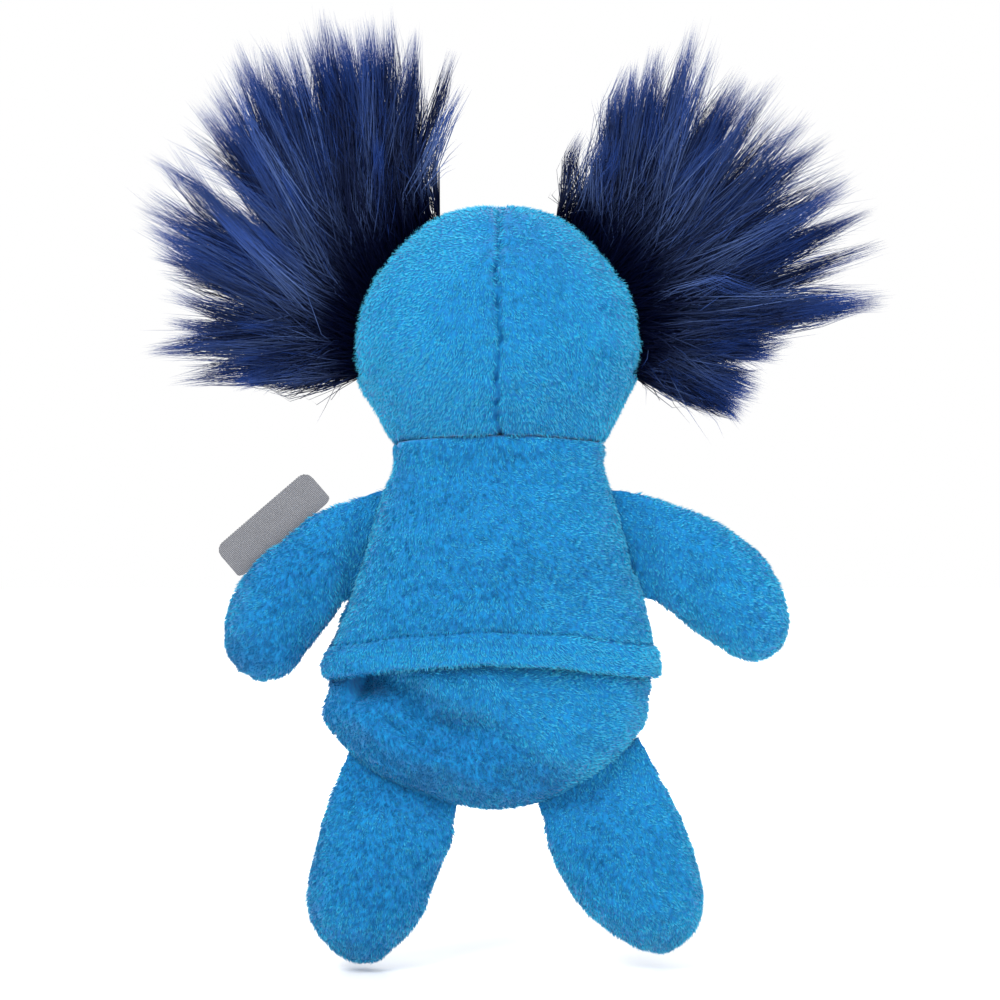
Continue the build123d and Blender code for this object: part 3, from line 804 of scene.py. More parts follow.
# ------------------------------------------------------------------ head
def head_skin():
    """The head's cloth: ovals x = w cos a, y = m + h sin a up to the crown, cut by the throat.

    Under the mouth no point stands in front of the throat's plane. The back seam pulls the
    cloth in by about 3 exp(-(x / 1.7)^2) mm and puckers it, and the neck seam draws its edge in.
    """
    columns = 260
    angle = 2 * pi * np.arange(columns) / columns
    under = np.linspace(NECK_Z, MOUTH_Z - 0.5, 32)
    s0 = 1 - np.sqrt(1 - (MOUTH_Z + 0.5 - NECK_Z) / (CROWN_Z - NECK_Z))
    over = NECK_Z + (CROWN_Z - NECK_Z) * (1 - (1 - np.linspace(s0, 0.995, 74)) ** 2)
    levels = np.concatenate([under, over])
    z = np.repeat(levels[:, None], columns, 1)
    w, middle, half = head_ring(z)
    x, y = w * np.cos(angle), middle + half * np.sin(angle)
    out = oval_out(angle, w, half)
    spot = np.stack([x, y, z], -1)
    behind = ease((y + 4) / 12)
    wobble = back_seam(z)
    seam = valley(x - wobble, 1.7) * behind * ease((CROWN_Z + 2 - z) / 6)
    dimples = 0.5 + 0.5 * np.sin(z / 0.9 + 2 * np.sin(z / 4.0))
    side_seam = valley(y, 1.8) * ease((z - MOUTH_Z + 12) / 8)
    puckers = 0.7 * np.sin(z / 1.5 + 1.4 * np.sin(z / 5) + np.sign(x)) * np.exp(-np.abs(x) / 5)
    above = z - NECK_Z
    drawn = 1.2 * np.exp(-above / 1.8) + 0.5 * valley(above - 6, 2.4) * np.sin(x / 4.2 + 1.0)
    push = -seam * (2.4 + 1.2 * dimples) - 1.0 * side_seam + puckers * behind - drawn
    push += 0.7 * ripple(spot, 34.0, 11) + 0.25 * ripple(spot, 9.0, 12)
    clear = ease((w - 3) / 8)
    x, y = x + out[..., 0] * push * clear, y + out[..., 1] * push * clear
    z = z + (neck_line(x) - NECK_Z) * (1 - ease(above / 16))
    z = z - 1.6 * valley(x, 2.0) * ease((z - CROWN_Z + 14) / 12) * behind
    front = np.where(z < MOUTH_Z, throat_y(z), -1e3)
    cut = (y < front) & (levels[:, None] < MOUTH_Z)
    y = np.where(cut, front, y)
    points = np.stack([x, y, z], -1).reshape(-1, 3)
    faces = grid_faces(len(levels), columns, wrap=True).reshape(len(levels) - 1, columns, 4)
    mouth_row = len(under) - 1
    lip = middle[mouth_row + 1] + half[mouth_row + 1] * np.sin(angle)
    open_here = (lip < HINGE[1] - 1.0) | (np.roll(lip, -1) < HINGE[1] - 1.0)
    faces = np.concatenate([
        faces[:mouth_row].reshape(-1, 4),
        faces[mouth_row][~open_here],
        faces[mouth_row + 1 :].reshape(-1, 4),
    ])
    crown = len(points)
    points = np.concatenate([points, [[0, middle[-1, 0], CROWN_Z - PILE_ROOM - 1.2]]])
    last = (len(levels) - 1) * columns + np.arange(columns)
    cap = np.stack([last, np.roll(last, -1), np.full(columns, crown)], 1)
    return points, [faces, cap]


def jaw_skin():
    """The lower jaw's cloth: the chin under the lip, then a flat underside up to the hinge.

    A column runs down the head's oval from the lip to where the underside's plane meets it,
    z = hinge + (y - hinge) tan 34, round the edge, and back along that plane.
    """
    columns = 150
    top = MOUTH_Z - 0.4
    _, m0, h0 = head_ring(np.array([top]))
    start = np.arcsin((HINGE[1] - 6.5 - m0[0]) / h0[0])
    angle = np.linspace(-pi - start, start, columns)
    z = np.full(columns, 100.0)
    for _ in range(12):
        w, m, h = head_ring(z)
        y = m + h * np.sin(angle)
        z = 0.5 * z + 0.5 * (MOUTH_Z - (HINGE[1] - y) * tan(JAW_ANGLE))
    bottom = np.minimum(z, top - 1.5)
    down = np.linspace(0, 1, 22)[:, None]
    heights = top + (bottom - top) * down
    w, m, h = head_ring(heights)
    x, y = w * np.cos(angle), m + h * np.sin(angle)
    # Rolled corner at the bottom and at the lip.
    tuck = 1.6 * np.exp(-(1 - down) * 9) + 1.0 * np.exp(-down * 14)
    x, y = x * (1 - tuck / 50), y + tuck * 0.9
    chin = np.stack([x, y, heights], -1)
    back = np.linspace(0, 1, 20)[1:, None]
    edge = chin[-1]
    reach = HINGE[1] - 5.5
    under_y = edge[:, 1] + (reach - edge[:, 1]) * back
    under_x = edge[:, 0] * (1 - 0.04 * back)
    under_z = edge[:, 2] + (MOUTH_Z - (HINGE[1] - reach) * tan(JAW_ANGLE) - edge[:, 2]) * back
    under = np.stack([under_x, under_y, under_z + 0.4 * np.sin(pi * back)], -1)
    points = np.concatenate([chin, under])
    points = points + 0.35 * ripple(points, 14.0, 21)[..., None] * np.array([0.4, -0.6, -0.5])
    rows = len(points)
    return points.reshape(-1, 3), [grid_faces(rows, columns)]


def gullet_skin():
    """The felt at the back of the mouth: an arc about the hinge, then flat inside the palate's felt.

    At the angle a under the level of the hinge it stands at the hinge less r (cos a, sin a),
    with r 0.3 mm less than the way from the hinge back to the lower felt. It ends at 47 degrees,
    past the closed jaw's underside and 5 degrees short of the wide open jaw's felt.
    """
    radius = HINGE[1] - high("jaw_felt")[1] - 0.3
    half = high("jaw_felt")[0] - 0.6
    arc = np.radians(np.linspace(47, -6, 14))
    flat = np.linspace(0.8, 9, 6)
    y = HINGE[1] - np.concatenate([radius * np.cos(arc), radius + flat])
    z = MOUTH_Z - np.concatenate([radius * np.sin(arc), radius * np.sin(arc[-1]) + 0 * flat])
    x = np.linspace(-half, half, 60)
    points = np.stack([x + 0 * y[:, None], y[:, None] + 0 * x, z[:, None] + 0 * x], -1)
    return points.reshape(-1, 3), [grid_faces(len(y), len(x))]


# ------------------------------------------------------------------ body
def torso_front_skin():
    """The body's front: half ovals from the neck down to the bottom seam."""
    columns, rows = 120, 130
    angle = np.linspace(-pi, 0, columns)
    s = np.linspace(0, 0.996, rows)[:, None]
    z = NECK_Z - (NECK_Z - SEAT_Z) * (1 - (1 - s) ** 2) + 0 * angle
    w, middle, half = torso_ring(z)
    x, y = w * np.cos(angle), middle * ease(-np.sin(angle) / 0.35) + half * np.sin(angle)
    out = oval_out(angle, w, half)
    spot = np.stack([x, y, z], -1)
    below = NECK_Z - z
    push = -1.2 * valley(y - 1.0, 2.2) - 1.2 * np.exp(-below / 1.8)
    push += 0.9 * ripple(spot, 38.0, 31) + 0.3 * ripple(spot, 10.0, 32)
    clear = ease((w - 3) / 8)
    x, y = x + out[..., 0] * push * clear, np.minimum(y + out[..., 1] * push * clear, 0.6)
    z = z + (neck_line(x) - 0.2 - NECK_Z) * (1 - ease(below / 16))
    x = x + lean(x, z)
    x[0], y[0], z[0] = 0.97 * x[0], 0.86 * y[0], z[0] + 1.8  # the edge sewn inside the neck
    return np.stack([x, y, z], -1).reshape(-1, 3), [grid_faces(rows, columns)]


def torso_back_skin():
    """The body's back from the neck to the hem, turned under and run up again inside.

    Down its face z goes from the neck's arch to the hem's; a stitched line 11 mm above the
    edge is drawn in and two soft ridges lie under it. Then the edge turns through half a
    circle of 1.8 mm and the cloth runs 10 mm back up.
    """
    columns, rows, turn, inner = 170, 130, 8, 9
    angle = np.linspace(0, pi, columns)
    t = np.linspace(0, 1, rows)[:, None] ** 0.9
    x = 50 * np.cos(angle) + 0 * t
    for _ in range(5):
        z = neck_line(x) - 0.2 + (hem_line(x) - neck_line(x) + 0.2) * t
        w, middle, half = torso_ring(z)
        x = w * np.cos(angle)
    y = middle * ease(np.sin(angle) / 0.35) + half * np.sin(angle)
    above = z - hem_line(x)
    spot = np.stack([x, y, z], -1)
    below = neck_line(x) - 0.2 - z
    stitch = 1.5 * valley(above - STITCH_RISE, 0.8) * (0.8 + 0.35 * np.sin(2 * pi * x / 3.0))
    push = -1.1 * stitch + 0.5 * valley(above - 7.4, 1.1) + 0.45 * valley(above - 3.6, 1.2)
    push += 0.5 * (1 - ease((above - 9.5) / 3.0))
    push += -1.3 * np.exp(-below / 1.8) - 1.1 * valley(y - 1.0, 2.2)
    folds = np.sin(x / 3.6 + 0.5 * np.sin(x / 9.0)) * np.exp(-below / 7.0)
    push += 0.45 * folds + 0.9 * ripple(spot, 36.0, 33) + 0.35 * ripple(spot, 11.0, 34)
    side = ease((np.abs(x) - 48) / 12) * ease(1 - above / 16)
    push += side * np.where(x > 0, 0.8, 1.6)
    out = oval_out(angle, w, half)
    x, y = x + out[..., 0] * push, np.maximum(y + out[..., 1] * push, -0.6)
    skin = np.stack([x + lean(x, z), y, z], -1)
    inward = np.stack([-out[-1, :, 0], -out[-1, :, 1], 0 * angle], -1)
    bend = np.linspace(0, pi, turn)[1:, None, None]
    round_edge = skin[-1] + 1.8 * (1 - np.cos(bend)) * inward - np.array([0, 0, 1.8]) * np.sin(bend)
    rise = np.linspace(0, 10, inner)[1:, None, None] * np.array([0.0, 0.0, 1.0])
    points = np.concatenate([skin, round_edge, round_edge[-1] + rise])
    return points.reshape(-1, 3), [grid_faces(rows + turn - 1 + inner - 1, columns)]


def seat_skin():
    """The stuffed seat below the hem: a low dome with a slack fold across its left half.

    Between its side seams y = d (1 - (x/w)^2)^0.5, with d up to 18.5 mm. The cloth right of a
    crease that falls from the left end of the hem swells 4.4 mm, the cloth left of it sinks
    5.5 mm and swells again, and a deep pocket lies under the hem's left end.
    """
    columns, rows = 140, 106
    across = np.linspace(0, pi, columns)
    top = 9.0
    s_top = 1 - np.sqrt(1 - (NECK_Z - top) / (NECK_Z - SEAT_Z))
    s = np.linspace(s_top, 0.997, rows)[:, None]
    z = NECK_Z - (NECK_Z - SEAT_Z) * (1 - (1 - s) ** 2) + 0 * across
    w, _, half = torso_ring(z)
    tucked = ease((z + 15) / 9)
    w = w - 6.4 * tucked
    share = np.cos(across)
    x = w * share
    depth = np.minimum(half * 0.95, 18.5)
    y = depth * (1 - share**2) ** 0.5
    spot = np.stack([x, y, z], -1)
    side, along = crease(x, z)
    side = side + 1.4 * np.sin(along / 7.0)
    reach = ease(along / 4 + 1.2) * ease((58 - along) / 16)
    inner = ease((w - np.abs(x)) / 10) * ease((z - SEAT_Z) / 10)
    push = 4.4 * ease(-side / 8) * inner * (0.7 + 0.3 * reach)
    push -= 5.5 * valley(side - 4.0, 5.0) * reach * inner
    push -= 1.8 * valley(side - 12.5, 2.4) * reach * inner * ease((along - 10) / 14)
    push += 3.4 * valley(side - 19.0, 6.0) * inner
    push -= 9.0 * valley(np.hypot(x - 50, (z + 13) * 0.8), 6.0)
    push -= 3.0 * ease((z + 9 + 3 * (x / 60) ** 2) / 6)
    push += (0.9 * ripple(spot, 26.0, 41) + 0.35 * ripple(spot, 9.0, 42)) * inner
    y = np.maximum(y + push, -0.4)
    x = x + lean(x, z)
    return np.stack([x, y, z], -1).reshape(-1, 3), [grid_faces(rows, columns)]


# ------------------------------------------------------------------ limbs and label
def limb_skin(limb):
    """A stuffed limb: at each station an oval e cos a by h sin a between its two edges.

    The side seams pull the two edges in, and small puckers cross them.
    """
    rows, columns = 96, 112
    stations = np.array(LIMB_ROWS[limb])
    knots = np.arange(len(stations), dtype=float)
    u = (len(stations) - 1) * np.sin(np.linspace(0, 0.5 * pi, rows)) ** 0.9
    u = np.minimum(u, len(stations) - 1.002)
    ax, az, bx, bz, thick = (through(knots, stations[:, k], u)[:, None] for k in range(5))
    turn = 2 * pi * np.arange(columns) / columns
    middle = np.stack([(ax + bx) / 2, 0 * ax, (az + bz) / 2], -1)
    edge = np.stack([(ax - bx) / 2, 0 * ax, (az - bz) / 2], -1)
    sunk = 3.0 * np.exp(-u / 0.35)[:, None]
    way = unit(np.stack([stations[1, 0] - stations[0, 0] + stations[1, 2] - stations[0, 2], 0.0,
                         stations[1, 1] - stations[0, 1] + stations[1, 3] - stations[0, 3]]))
    middle = middle - way * sunk[..., None]
    length = np.linalg.norm(edge, axis=-1, keepdims=True)
    edge = edge / np.maximum(length, 1e-6) * np.maximum(length - PILE_ROOM, 0.05)
    thick = np.maximum(thick - PILE_ROOM * 0.8, 0.06) + 1.6 * np.exp(-u / 0.5)[:, None]
    cos_a, sin_a = np.cos(turn)[None, :, None], np.sin(turn)[None, :, None]
    up = np.array([0.0, 1.0, 0.0])
    points = middle + edge * cos_a + up * thick[..., None] * sin_a
    out = unit(points - middle)
    near_seam = valley(points[..., 1], 1.7)[..., None] * ease(thick / 4)[..., None]
    phase = u[:, None, None] * 9.0
    push = -0.9 * near_seam * (1 + 0.4 * np.sin(phase)) + 0.7 * ripple(points, 26.0, 51)[..., None]
    push = push + 0.25 * ripple(points, 8.0, 52)[..., None]
    creases = np.exp(-u / 0.9)[:, None, None] * np.sin(cos_a * 14 + 1.0) * 0.8
    push = (push + creases) * ease(thick / 5)[..., None]
    points = points + out * push
    ends = np.array([points[0].mean(0), points[-1].mean(0)])
    every = np.concatenate([points.reshape(-1, 3), ends])
    faces, caps = grid_faces(rows, columns, wrap=True), end_fans(rows, columns)
    if outward_faces(every, faces) is not faces:
        faces, caps = faces[:, ::-1], caps[:, ::-1]
    return every, [faces, caps]


LABEL_START = np.array([66.5, 60.0])
LABEL_END = np.array([103.0, 28.6])
LABEL_WIDTH = 15.6


def label_skin():
    """The woven label: a rounded plate over the arm's edge, slightly curled, with a saw edge."""
    run = LABEL_END - LABEL_START
    length, width, corner = np.linalg.norm(run), LABEL_WIDTH, 4.0
    run = run / length
    out = np.array([-run[1], run[0]])
    columns, rows = 170, 40
    u = np.linspace(0, length, columns)[:, None]
    v = np.linspace(0, 1, rows)[None, :]
    ends = np.minimum(u, length - u)
    cut = np.where(ends < corner, corner - np.sqrt(np.maximum(corner**2 - (corner - ends) ** 2, 0)), 0)
    saw = 0.28 * np.abs(((u / 1.15) % 1) - 0.5) * 2
    height = width - cut - saw
    along = u + 0 * v
    up = 0.2 + cut * 0.4 + (height - cut * 0.4) * v
    curl = 0.8 * np.sin(along / length * 3.4) * (up / width) + 0.5 * (up / width) ** 2
    sides = []
    for lift in (0.55, -0.55):
        flat = LABEL_START + run * along[..., None] + out * up[..., None]
        sides.append(np.stack([flat[..., 0], curl + lift, flat[..., 1]], -1))
    points = np.concatenate([side.reshape(-1, 3) for side in sides])
    top = grid_faces(columns, rows)
    under = grid_faces(columns, rows, first=columns * rows)[:, ::-1]
    index = np.arange(columns * rows).reshape(columns, rows)
    loop = np.concatenate([index[:, 0], index[-1, 1:], index[-2::-1, -1], index[0, -2:0:-1]])
    after, shift = np.roll(loop, -1), columns * rows
    rim = np.stack([loop, after, after + shift, loop + shift], 1)
    return points, [top[:, ::-1], under[:, ::-1], rim]


# ------------------------------------------------------------------ hair
def tuft_strands(side_name, rng, count):
    """Curves of one tuft: four Bezier points a strand, with its lock's and its own share of painted highlight.

    A strand starts on the head's side seam and ends near the tip of its lock: locks fan out
    between the tips of the outline, some shorter and lying in front or behind.
    """
    sign = 1 if side_name == "hair_left" else -1
    tips = np.array(HAIR_TIPS[side_name], float)
    locks = 260
    q = np.sort(rng.random(locks)) * (len(tips) - 1)
    main = np.arange(len(tips), dtype=float)
    q[: len(main)] = main
    between = np.abs(q - np.round(q)) * 2
    tip_x = np.interp(q, main, tips[:, 0])
    tip_z = np.interp(q, main, tips[:, 1])
    fan = q / (len(tips) - 1)
    low_z, high_z = HAIR_SEAM
    root_z = high_z + (low_z - high_z) * np.clip(fan**0.85 + rng.normal(0, 0.04, locks), 0, 1)
    length = 1.01 - 0.09 * between * rng.random(locks)
    inner = np.arange(locks) >= len(main)
    length = np.where(inner & (rng.random(locks) < 0.62), length * rng.uniform(0.52, 0.93, locks), length)
    wide, middle, _ = head_ring(root_z, 0.0)
    root = np.stack([wide - 1.5, middle * 0.3, root_z], 1)
    tip = np.stack([tip_x, 0 * tip_x, tip_z], 1)
    tip = root + (tip - root) * length[:, None]
    tip[:, 1] = rng.normal(0, 5.0, locks) + np.where(inner, rng.uniform(-9, 9, locks), 0)
    bow = rng.normal(0, 6.0, (locks, 3)) * np.array([1.0, 0.7, 1.0])
    sizes = np.where(inner, 1.0, 1.6) * rng.uniform(0.4, 1.6, locks)
    mine = rng.choice(locks, count, p=sizes / sizes.sum())
    spread_z = rng.normal(0, 4.5, count)
    r_z = np.clip(root_z[mine] + spread_z, low_z - 4, high_z + 3)
    r_w, r_m, _ = head_ring(r_z, 0.0)
    start = np.stack([r_w - 2.0, r_m * 0.3 + rng.normal(0, 3.4, count), r_z], 1)
    chord = tip[mine] - root[mine]
    reach = np.linalg.norm(chord, axis=1, keepdims=True)
    way = chord / reach
    trim = 1 - 0.5 * rng.random((count, 1)) ** 1.6
    stray = rng.random(count) < 0.012
    end = root[mine] + chord * trim
    loose = np.where(stray, 4.5, 1.5)[:, None] * (0.9 + 4.0 * (1 - trim))
    end = end + rng.normal(0, 1.0, (count, 3)) * loose
    leave = unit(np.stack([0.75 + 0 * r_z, 0.3 * rng.normal(0, 1, count), 0 * r_z], 1) + way)
    first = start + leave * reach * 0.28 + rng.normal(0, 0.7, (count, 3))
    second = start + (end - start) * 0.68 + bow[mine] + rng.normal(0, 0.9, (count, 3))
    control = np.stack([start, first, second, end], 1)
    control[..., 0] *= sign
    # Painted highlight: some locks, and a few strands on their own, take the lighter sheen ramp.
    lock_highlight = rng.random(locks) ** 2.2
    tone_and_light = np.clip(0.7 * lock_highlight[mine] + 0.3 * rng.random(count) ** 2.5, 0.02, 0.98)
    return control, tone_and_light


def strand_mesh(name, control, tone_and_light, width, material, rng):
    """Three-sided strands along cubic Bezier curves, tapering to a point, closed at the root."""
    steps = np.array([0.0, 0.4, 0.76])
    t = steps[None, :, None]
    a, b, c, d = (control[:, None, k] for k in range(4))
    line = (1 - t) ** 3 * a + 3 * t * (1 - t) ** 2 * b + 3 * t * t * (1 - t) * c + t**3 * d
    count, rings = len(control), len(steps)
    spine = unit(np.gradient(line, axis=1))
    across = unit(np.cross(spine, np.array([0.0, 1.0, 0.0])))
    up = np.cross(across, spine)
    half = width / 2 * np.array([1.0, 0.95, 0.65])[None, :, None]
    half = half * rng.uniform(0.6, 1.35, (count, 1, 1))
    twist = rng.uniform(0, 2 * pi, (count, 1, 1))
    thirds = [twist + k for k in (0, 2 * pi / 3, 4 * pi / 3)]
    corners = [line + half * (across * np.cos(turn) + up * np.sin(turn)) for turn in thirds]
    body = np.stack(corners, 2).reshape(count, rings * 3, 3)
    points = np.concatenate([body, d], 1).reshape(-1, 3)
    pattern, along = [[0, 2, 1]], [[0.0, 0.0, 0.0]]
    for ring in range(rings - 1):
        for k in range(3):
            p, n = ring * 3 + k, ring * 3 + (k + 1) % 3
            pattern += [[p, n, n + 3], [p, n + 3, p + 3]]
            lo, hi = steps[ring], steps[ring + 1]
            along += [[lo, lo, hi], [lo, hi, hi]]
    for k in range(3):
        pattern.append([(rings - 1) * 3 + k, (rings - 1) * 3 + (k + 1) % 3, rings * 3])
        along.append([steps[-1], steps[-1], 0.98])
    pattern, along = np.array(pattern), np.clip(np.array(along), 0.02, 0.98)
    faces = (np.arange(count)[:, None, None] * (rings * 3 + 1) + pattern).reshape(-1, 3)
    uv = np.empty((count, *along.shape, 2))
    uv[..., 0] = tone_and_light[:, None, None]
    uv[..., 1] = along
    return new_piece(name, points, [faces], material, smooth=True, uv=uv.reshape(-1, 2))


# ------------------------------------------------------------------ naps of the pile
def shade(places):
    """How much lighter the pile is at a place: partly painted light and shade.

    Painted light makes the head lighter, most on its left, and painted shade darkens the seam at
    the back of the head, the hem's stitched line and the fold under the hem. A band along the hem
    and the back's right side are lighter; the left arm, the legs and the seat's slack side darker.
    """
    x, y, z = places.T
    back, above = y > 0, z - hem_line(x)
    # Painted light: the head's pile is lighter, most on its left.
    light = 0.42 * ease((z - NECK_Z + 2) / 6) * (0.55 + 0.8 * ease((x + 10) / 30))
    # Darker on the left arm, and on the legs, most on the left one.
    light = light - 0.30 * ease((x - 58) / 14) * ease((z + 14) / 10)
    light = light - 0.16 * ease((-64 - z) / 12) * (x > 0) - 0.06 * ease((-64 - z) / 12)
    # Lighter on a band just above the hem's edge.
    light = light + 0.25 * back * ease((above + 1) / 1.5) * ease((9.5 - above) / 2)
    low = ease((6 - z) / 8) * ease((z + 66) / 8) * back
    # Painted shade: darker along the seam at the back of the head, along the hem's stitched line and in the fold
    # under the hem's left end.
    seam = back * ease((z - NECK_Z) / 4) * valley(x - back_seam(z), 1.3)
    line = back * valley(above - STITCH_RISE, 0.8)
    fold = back * valley(np.hypot(x - 52, z + 13), 7.5)
    light = light - 0.6 * seam - 0.4 * line - 0.8 * fold
    slack = crease(x, z)[0] / 10
    # Lighter on the hem's band and towards the right of the back.
    hem = back * ease((above + 2) / 3) * ease((14 - above) / 4)
    light = light + 0.25 * hem + 0.12 * back * ease((-10 - x) / 30)
    # The seat is darker below its slack crease and a little lighter above it.
    return light - 0.5 * low * ease(slack + 0.3) + 0.16 * low * ease(-slack)


def nap_of(base, size, turn, seed):
    """A direction field: base(places) plus slow noise, the way a pile lies when stroked."""

    def nap(places):
        noise = np.stack([ripple(places, size, seed + k) for k in range(3)], -1)
        fine = np.stack([ripple(places, size / 4, seed + 5 + k) for k in range(3)], -1)
        return base(places) + turn * noise + 0.4 * turn * fine

    return nap


def head_flow(places):
    """Down, and outwards from the centre seam."""
    return np.stack([0.5 * np.tanh(places[:, 0] / 12), 0 * places[:, 0], -1 + 0 * places[:, 0]], -1)


def body_flow(places):
    """Down on the puppet's left and more and more sideways towards its right."""
    turn = ease((30 - places[:, 0]) / 70)
    return np.stack([-0.15 - 1.0 * turn, 0 * turn, -1.0 + 0.45 * turn], -1)


def limb_flow(limb):
    """From the seam towards the tip."""
    rows = np.array(LIMB_ROWS[limb])
    start, end = (rows[0, :2] + rows[0, 2:4]) / 2, (rows[-1, :2] + rows[-1, 2:4]) / 2
    way = (end - start) / np.linalg.norm(end - start)
    return lambda places: np.tile(np.array([way[0], 0.0, way[1]]), (len(places), 1))


def outward_of_body(places, facing):
    """True where a face looks away from the body's middle line: not inside the hem."""
    out = places * np.array([1.0, 1.6, 0.0])
    return ((facing * out).sum(1) > 0) | (places[:, 2] < -30)


def skin_piece(name, shape):
    """A cloth surface whose faces point outwards, in the backing's material."""
    points, face_sets = shape
    flip = outward_faces(points - points.mean(0), face_sets[0]) is not face_sets[0]
    if flip:
        face_sets = [faces[:, ::-1] for faces in face_sets]
    return new_piece(name, points, face_sets, bpy.data.materials["plush_backing"])


# ------------------------------------------------------------------ operators
class PUPPET_OT_materials(bpy.types.Operator):
    """Make every material and give the CAD pieces that stay theirs"""

    bl_idname = "puppet.materials"
    bl_label = "Materials"

    def execute(self, context):
        scene = context.scene
        plush, fur, face = scene.puppet_plush, scene.puppet_fur, scene.puppet_face
        pile_material("plush_pile", [plush.root, plush.middle, plush.tip, plush.shade])
        # The backing takes the pile's root and shade colours: painted shade in the gaps between fibres.
        cloth_material("plush_backing", plush.root, plush.shade)
        fur_material("long_fur", [fur.root, fur.middle, fur.tip, fur.sheen])
        # The nose's pile gets lighter to its tips, a painted highlight, and its backing is partly near black,
        # painted shade between its fibres.
        pile_material("nose_pile", [face.nose, face.nose, fur.tip, fur.middle])
        cloth_material("nose_backing", fur.root, face.nose)
        by_slot = {
            "felt_red": felt_material("red_felt", face.felt_red),
            "felt_pink": felt_material("pink_felt", face.felt_pink),
            "felt_white": felt_material("white_felt", face.felt_white),
            "stuffing": felt_material("polyester_stuffing", linear("EDEEF0"), 1.4),
            "lining": felt_material("cotton_lining", linear("3E5C86"), 0.7),
            "mouth_board": felt_material("grey_board", linear("8D8578"), 0.9),
            "eye_black": gloss_material("moulded_plastic", face.eye),
            "washer_white": gloss_material("washer_plastic", linear("D9D8D2"), 0.4),
        }
        label_material("woven_label", face.label, face.label_edge)
        slots = {row["node"]: row["material_slot"] for row in frame["record"]["subparts"]}
        for name, node in frame["nodes"].items():
            material = by_slot.get(slots.get(name))
            if material:
                for slot in node.material_slots:
                    slot.material = material
        return {"FINISHED"}


class PUPPET_OT_head(bpy.types.Operator):
    """Build the head's cloth and pile"""

    bl_idname = "puppet.head"
    bl_label = "Head"

    def execute(self, context):
        skin = skin_piece("head_cloth", head_skin())
        surface = read_mesh(skin)
        bare = [(high(f"eye_patch_{s}") + low(f"eye_patch_{s}")) / 2 for s in ("left", "right")]
        nose = (high("nose") + low("nose")) / 2

        def keep(places, facing):
            clear = (facing * (places - HEAD_HEART)).sum(1) > 0
            in_seam = np.abs(places[:, 0] - back_seam(places[:, 2])) < SEAM_BARE
            clear &= ~(in_seam & (places[:, 1] > 0))
            for spot in bare:
                off = np.hypot(places[:, 0] - spot[0], places[:, 2] - spot[2])
                clear &= (off > PATCH_BARE) | (places[:, 1] > 0)
            off = np.hypot(places[:, 0] - nose[0], places[:, 2] - nose[2])
            return clear & ((off > NOSE_BARE) | (places[:, 1] > 0))

        sides = {
            "head_pile_back_left": lambda p: (p[:, 1] > 0) & (p[:, 0] > 0),
            "head_pile_back_right": lambda p: (p[:, 1] > 0) & (p[:, 0] <= 0),
            "head_pile_front": lambda p: p[:, 1] <= 0,
        }
        thicken(skin, 2.0)
        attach(skin, "head")
        panels = ("head_back_left_panel", "head_back_right_panel", "face_panel", "throat_panel")
        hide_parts(*panels, "head_stuffing")
        nap = nap_of(head_flow, 40.0, 0.32, 61)
        for index, (name, part) in enumerate(sides.items()):
            fur = pile(
                name,
                surface,
                bpy.data.materials["plush_pile"],
                nap,
                600 + index,
                keep=lambda p, f, part=part: keep(p, f) & part(p),
            )
            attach(fur, "head")
        return {"FINISHED"}


class PUPPET_OT_jaw(bpy.types.Operator):
    """Build the lower jaw's cloth and pile, and the felt behind the mouth"""

    bl_idname = "puppet.jaw"
    bl_label = "Jaw"

    def execute(self, context):
        skin = skin_piece("jaw_cloth", jaw_skin())
        fur = pile(
            "jaw_pile",
            read_mesh(skin),
            bpy.data.materials["plush_pile"],
            nap_of(head_flow, 30.0, 0.3, 62),
            620,
        )
        thicken(skin, 2.0)
        for piece in (skin, fur):
            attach(piece, "jaw")
        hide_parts("chin_panel", "jaw_gusset", "jaw_stuffing")
        points, faces = gullet_skin()
        felt = new_piece("mouth_back_felt", points, faces, bpy.data.materials["red_felt"])
        thicken(felt, 0.8)
        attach(felt, "head")
        return {"FINISHED"}


class PUPPET_OT_body(bpy.types.Operator):
    """Build the body: its front, its back down to the hem, and the stuffed seat"""

    bl_idname = "puppet.body"
    bl_label = "Body"

    def execute(self, context):
        parts = (
            ("body_front", torso_front_skin(), ("torso_front_panel",), 2.0, 0.7),
            ("body_back", torso_back_skin(), ("torso_back_panel", "hem_fold"), 1.4, 0.2),
            ("seat", seat_skin(), ("seat_panel", "seat_stuffing"), 2.0, 0.8),
        )
        for index, (name, shape, nodes, thickness, fill) in enumerate(parts):
            skin = skin_piece(f"{name}_cloth", shape)
            surface = read_mesh(skin)
            halves = {"left": lambda p: p[:, 0] > 0, "right": lambda p: p[:, 0] <= 0}
            for side, part in halves.items():
                fur = pile(
                    f"{name}_pile_{side}",
                    surface,
                    bpy.data.materials["plush_pile"],
                    nap_of(body_flow, 30.0, 0.42, 63),
                    640 + 2 * index + (side == "left"),
                    keep=lambda p, f, part=part: part(p) & outward_of_body(p, f),
                )
                if name == "seat":
                    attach(fur, "torso")
                else:
                    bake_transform(fur)
            thicken(skin, thickness)
            if name == "seat":
                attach(skin, "torso")
            else:
                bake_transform(skin)
            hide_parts(*nodes)
        return {"FINISHED"}


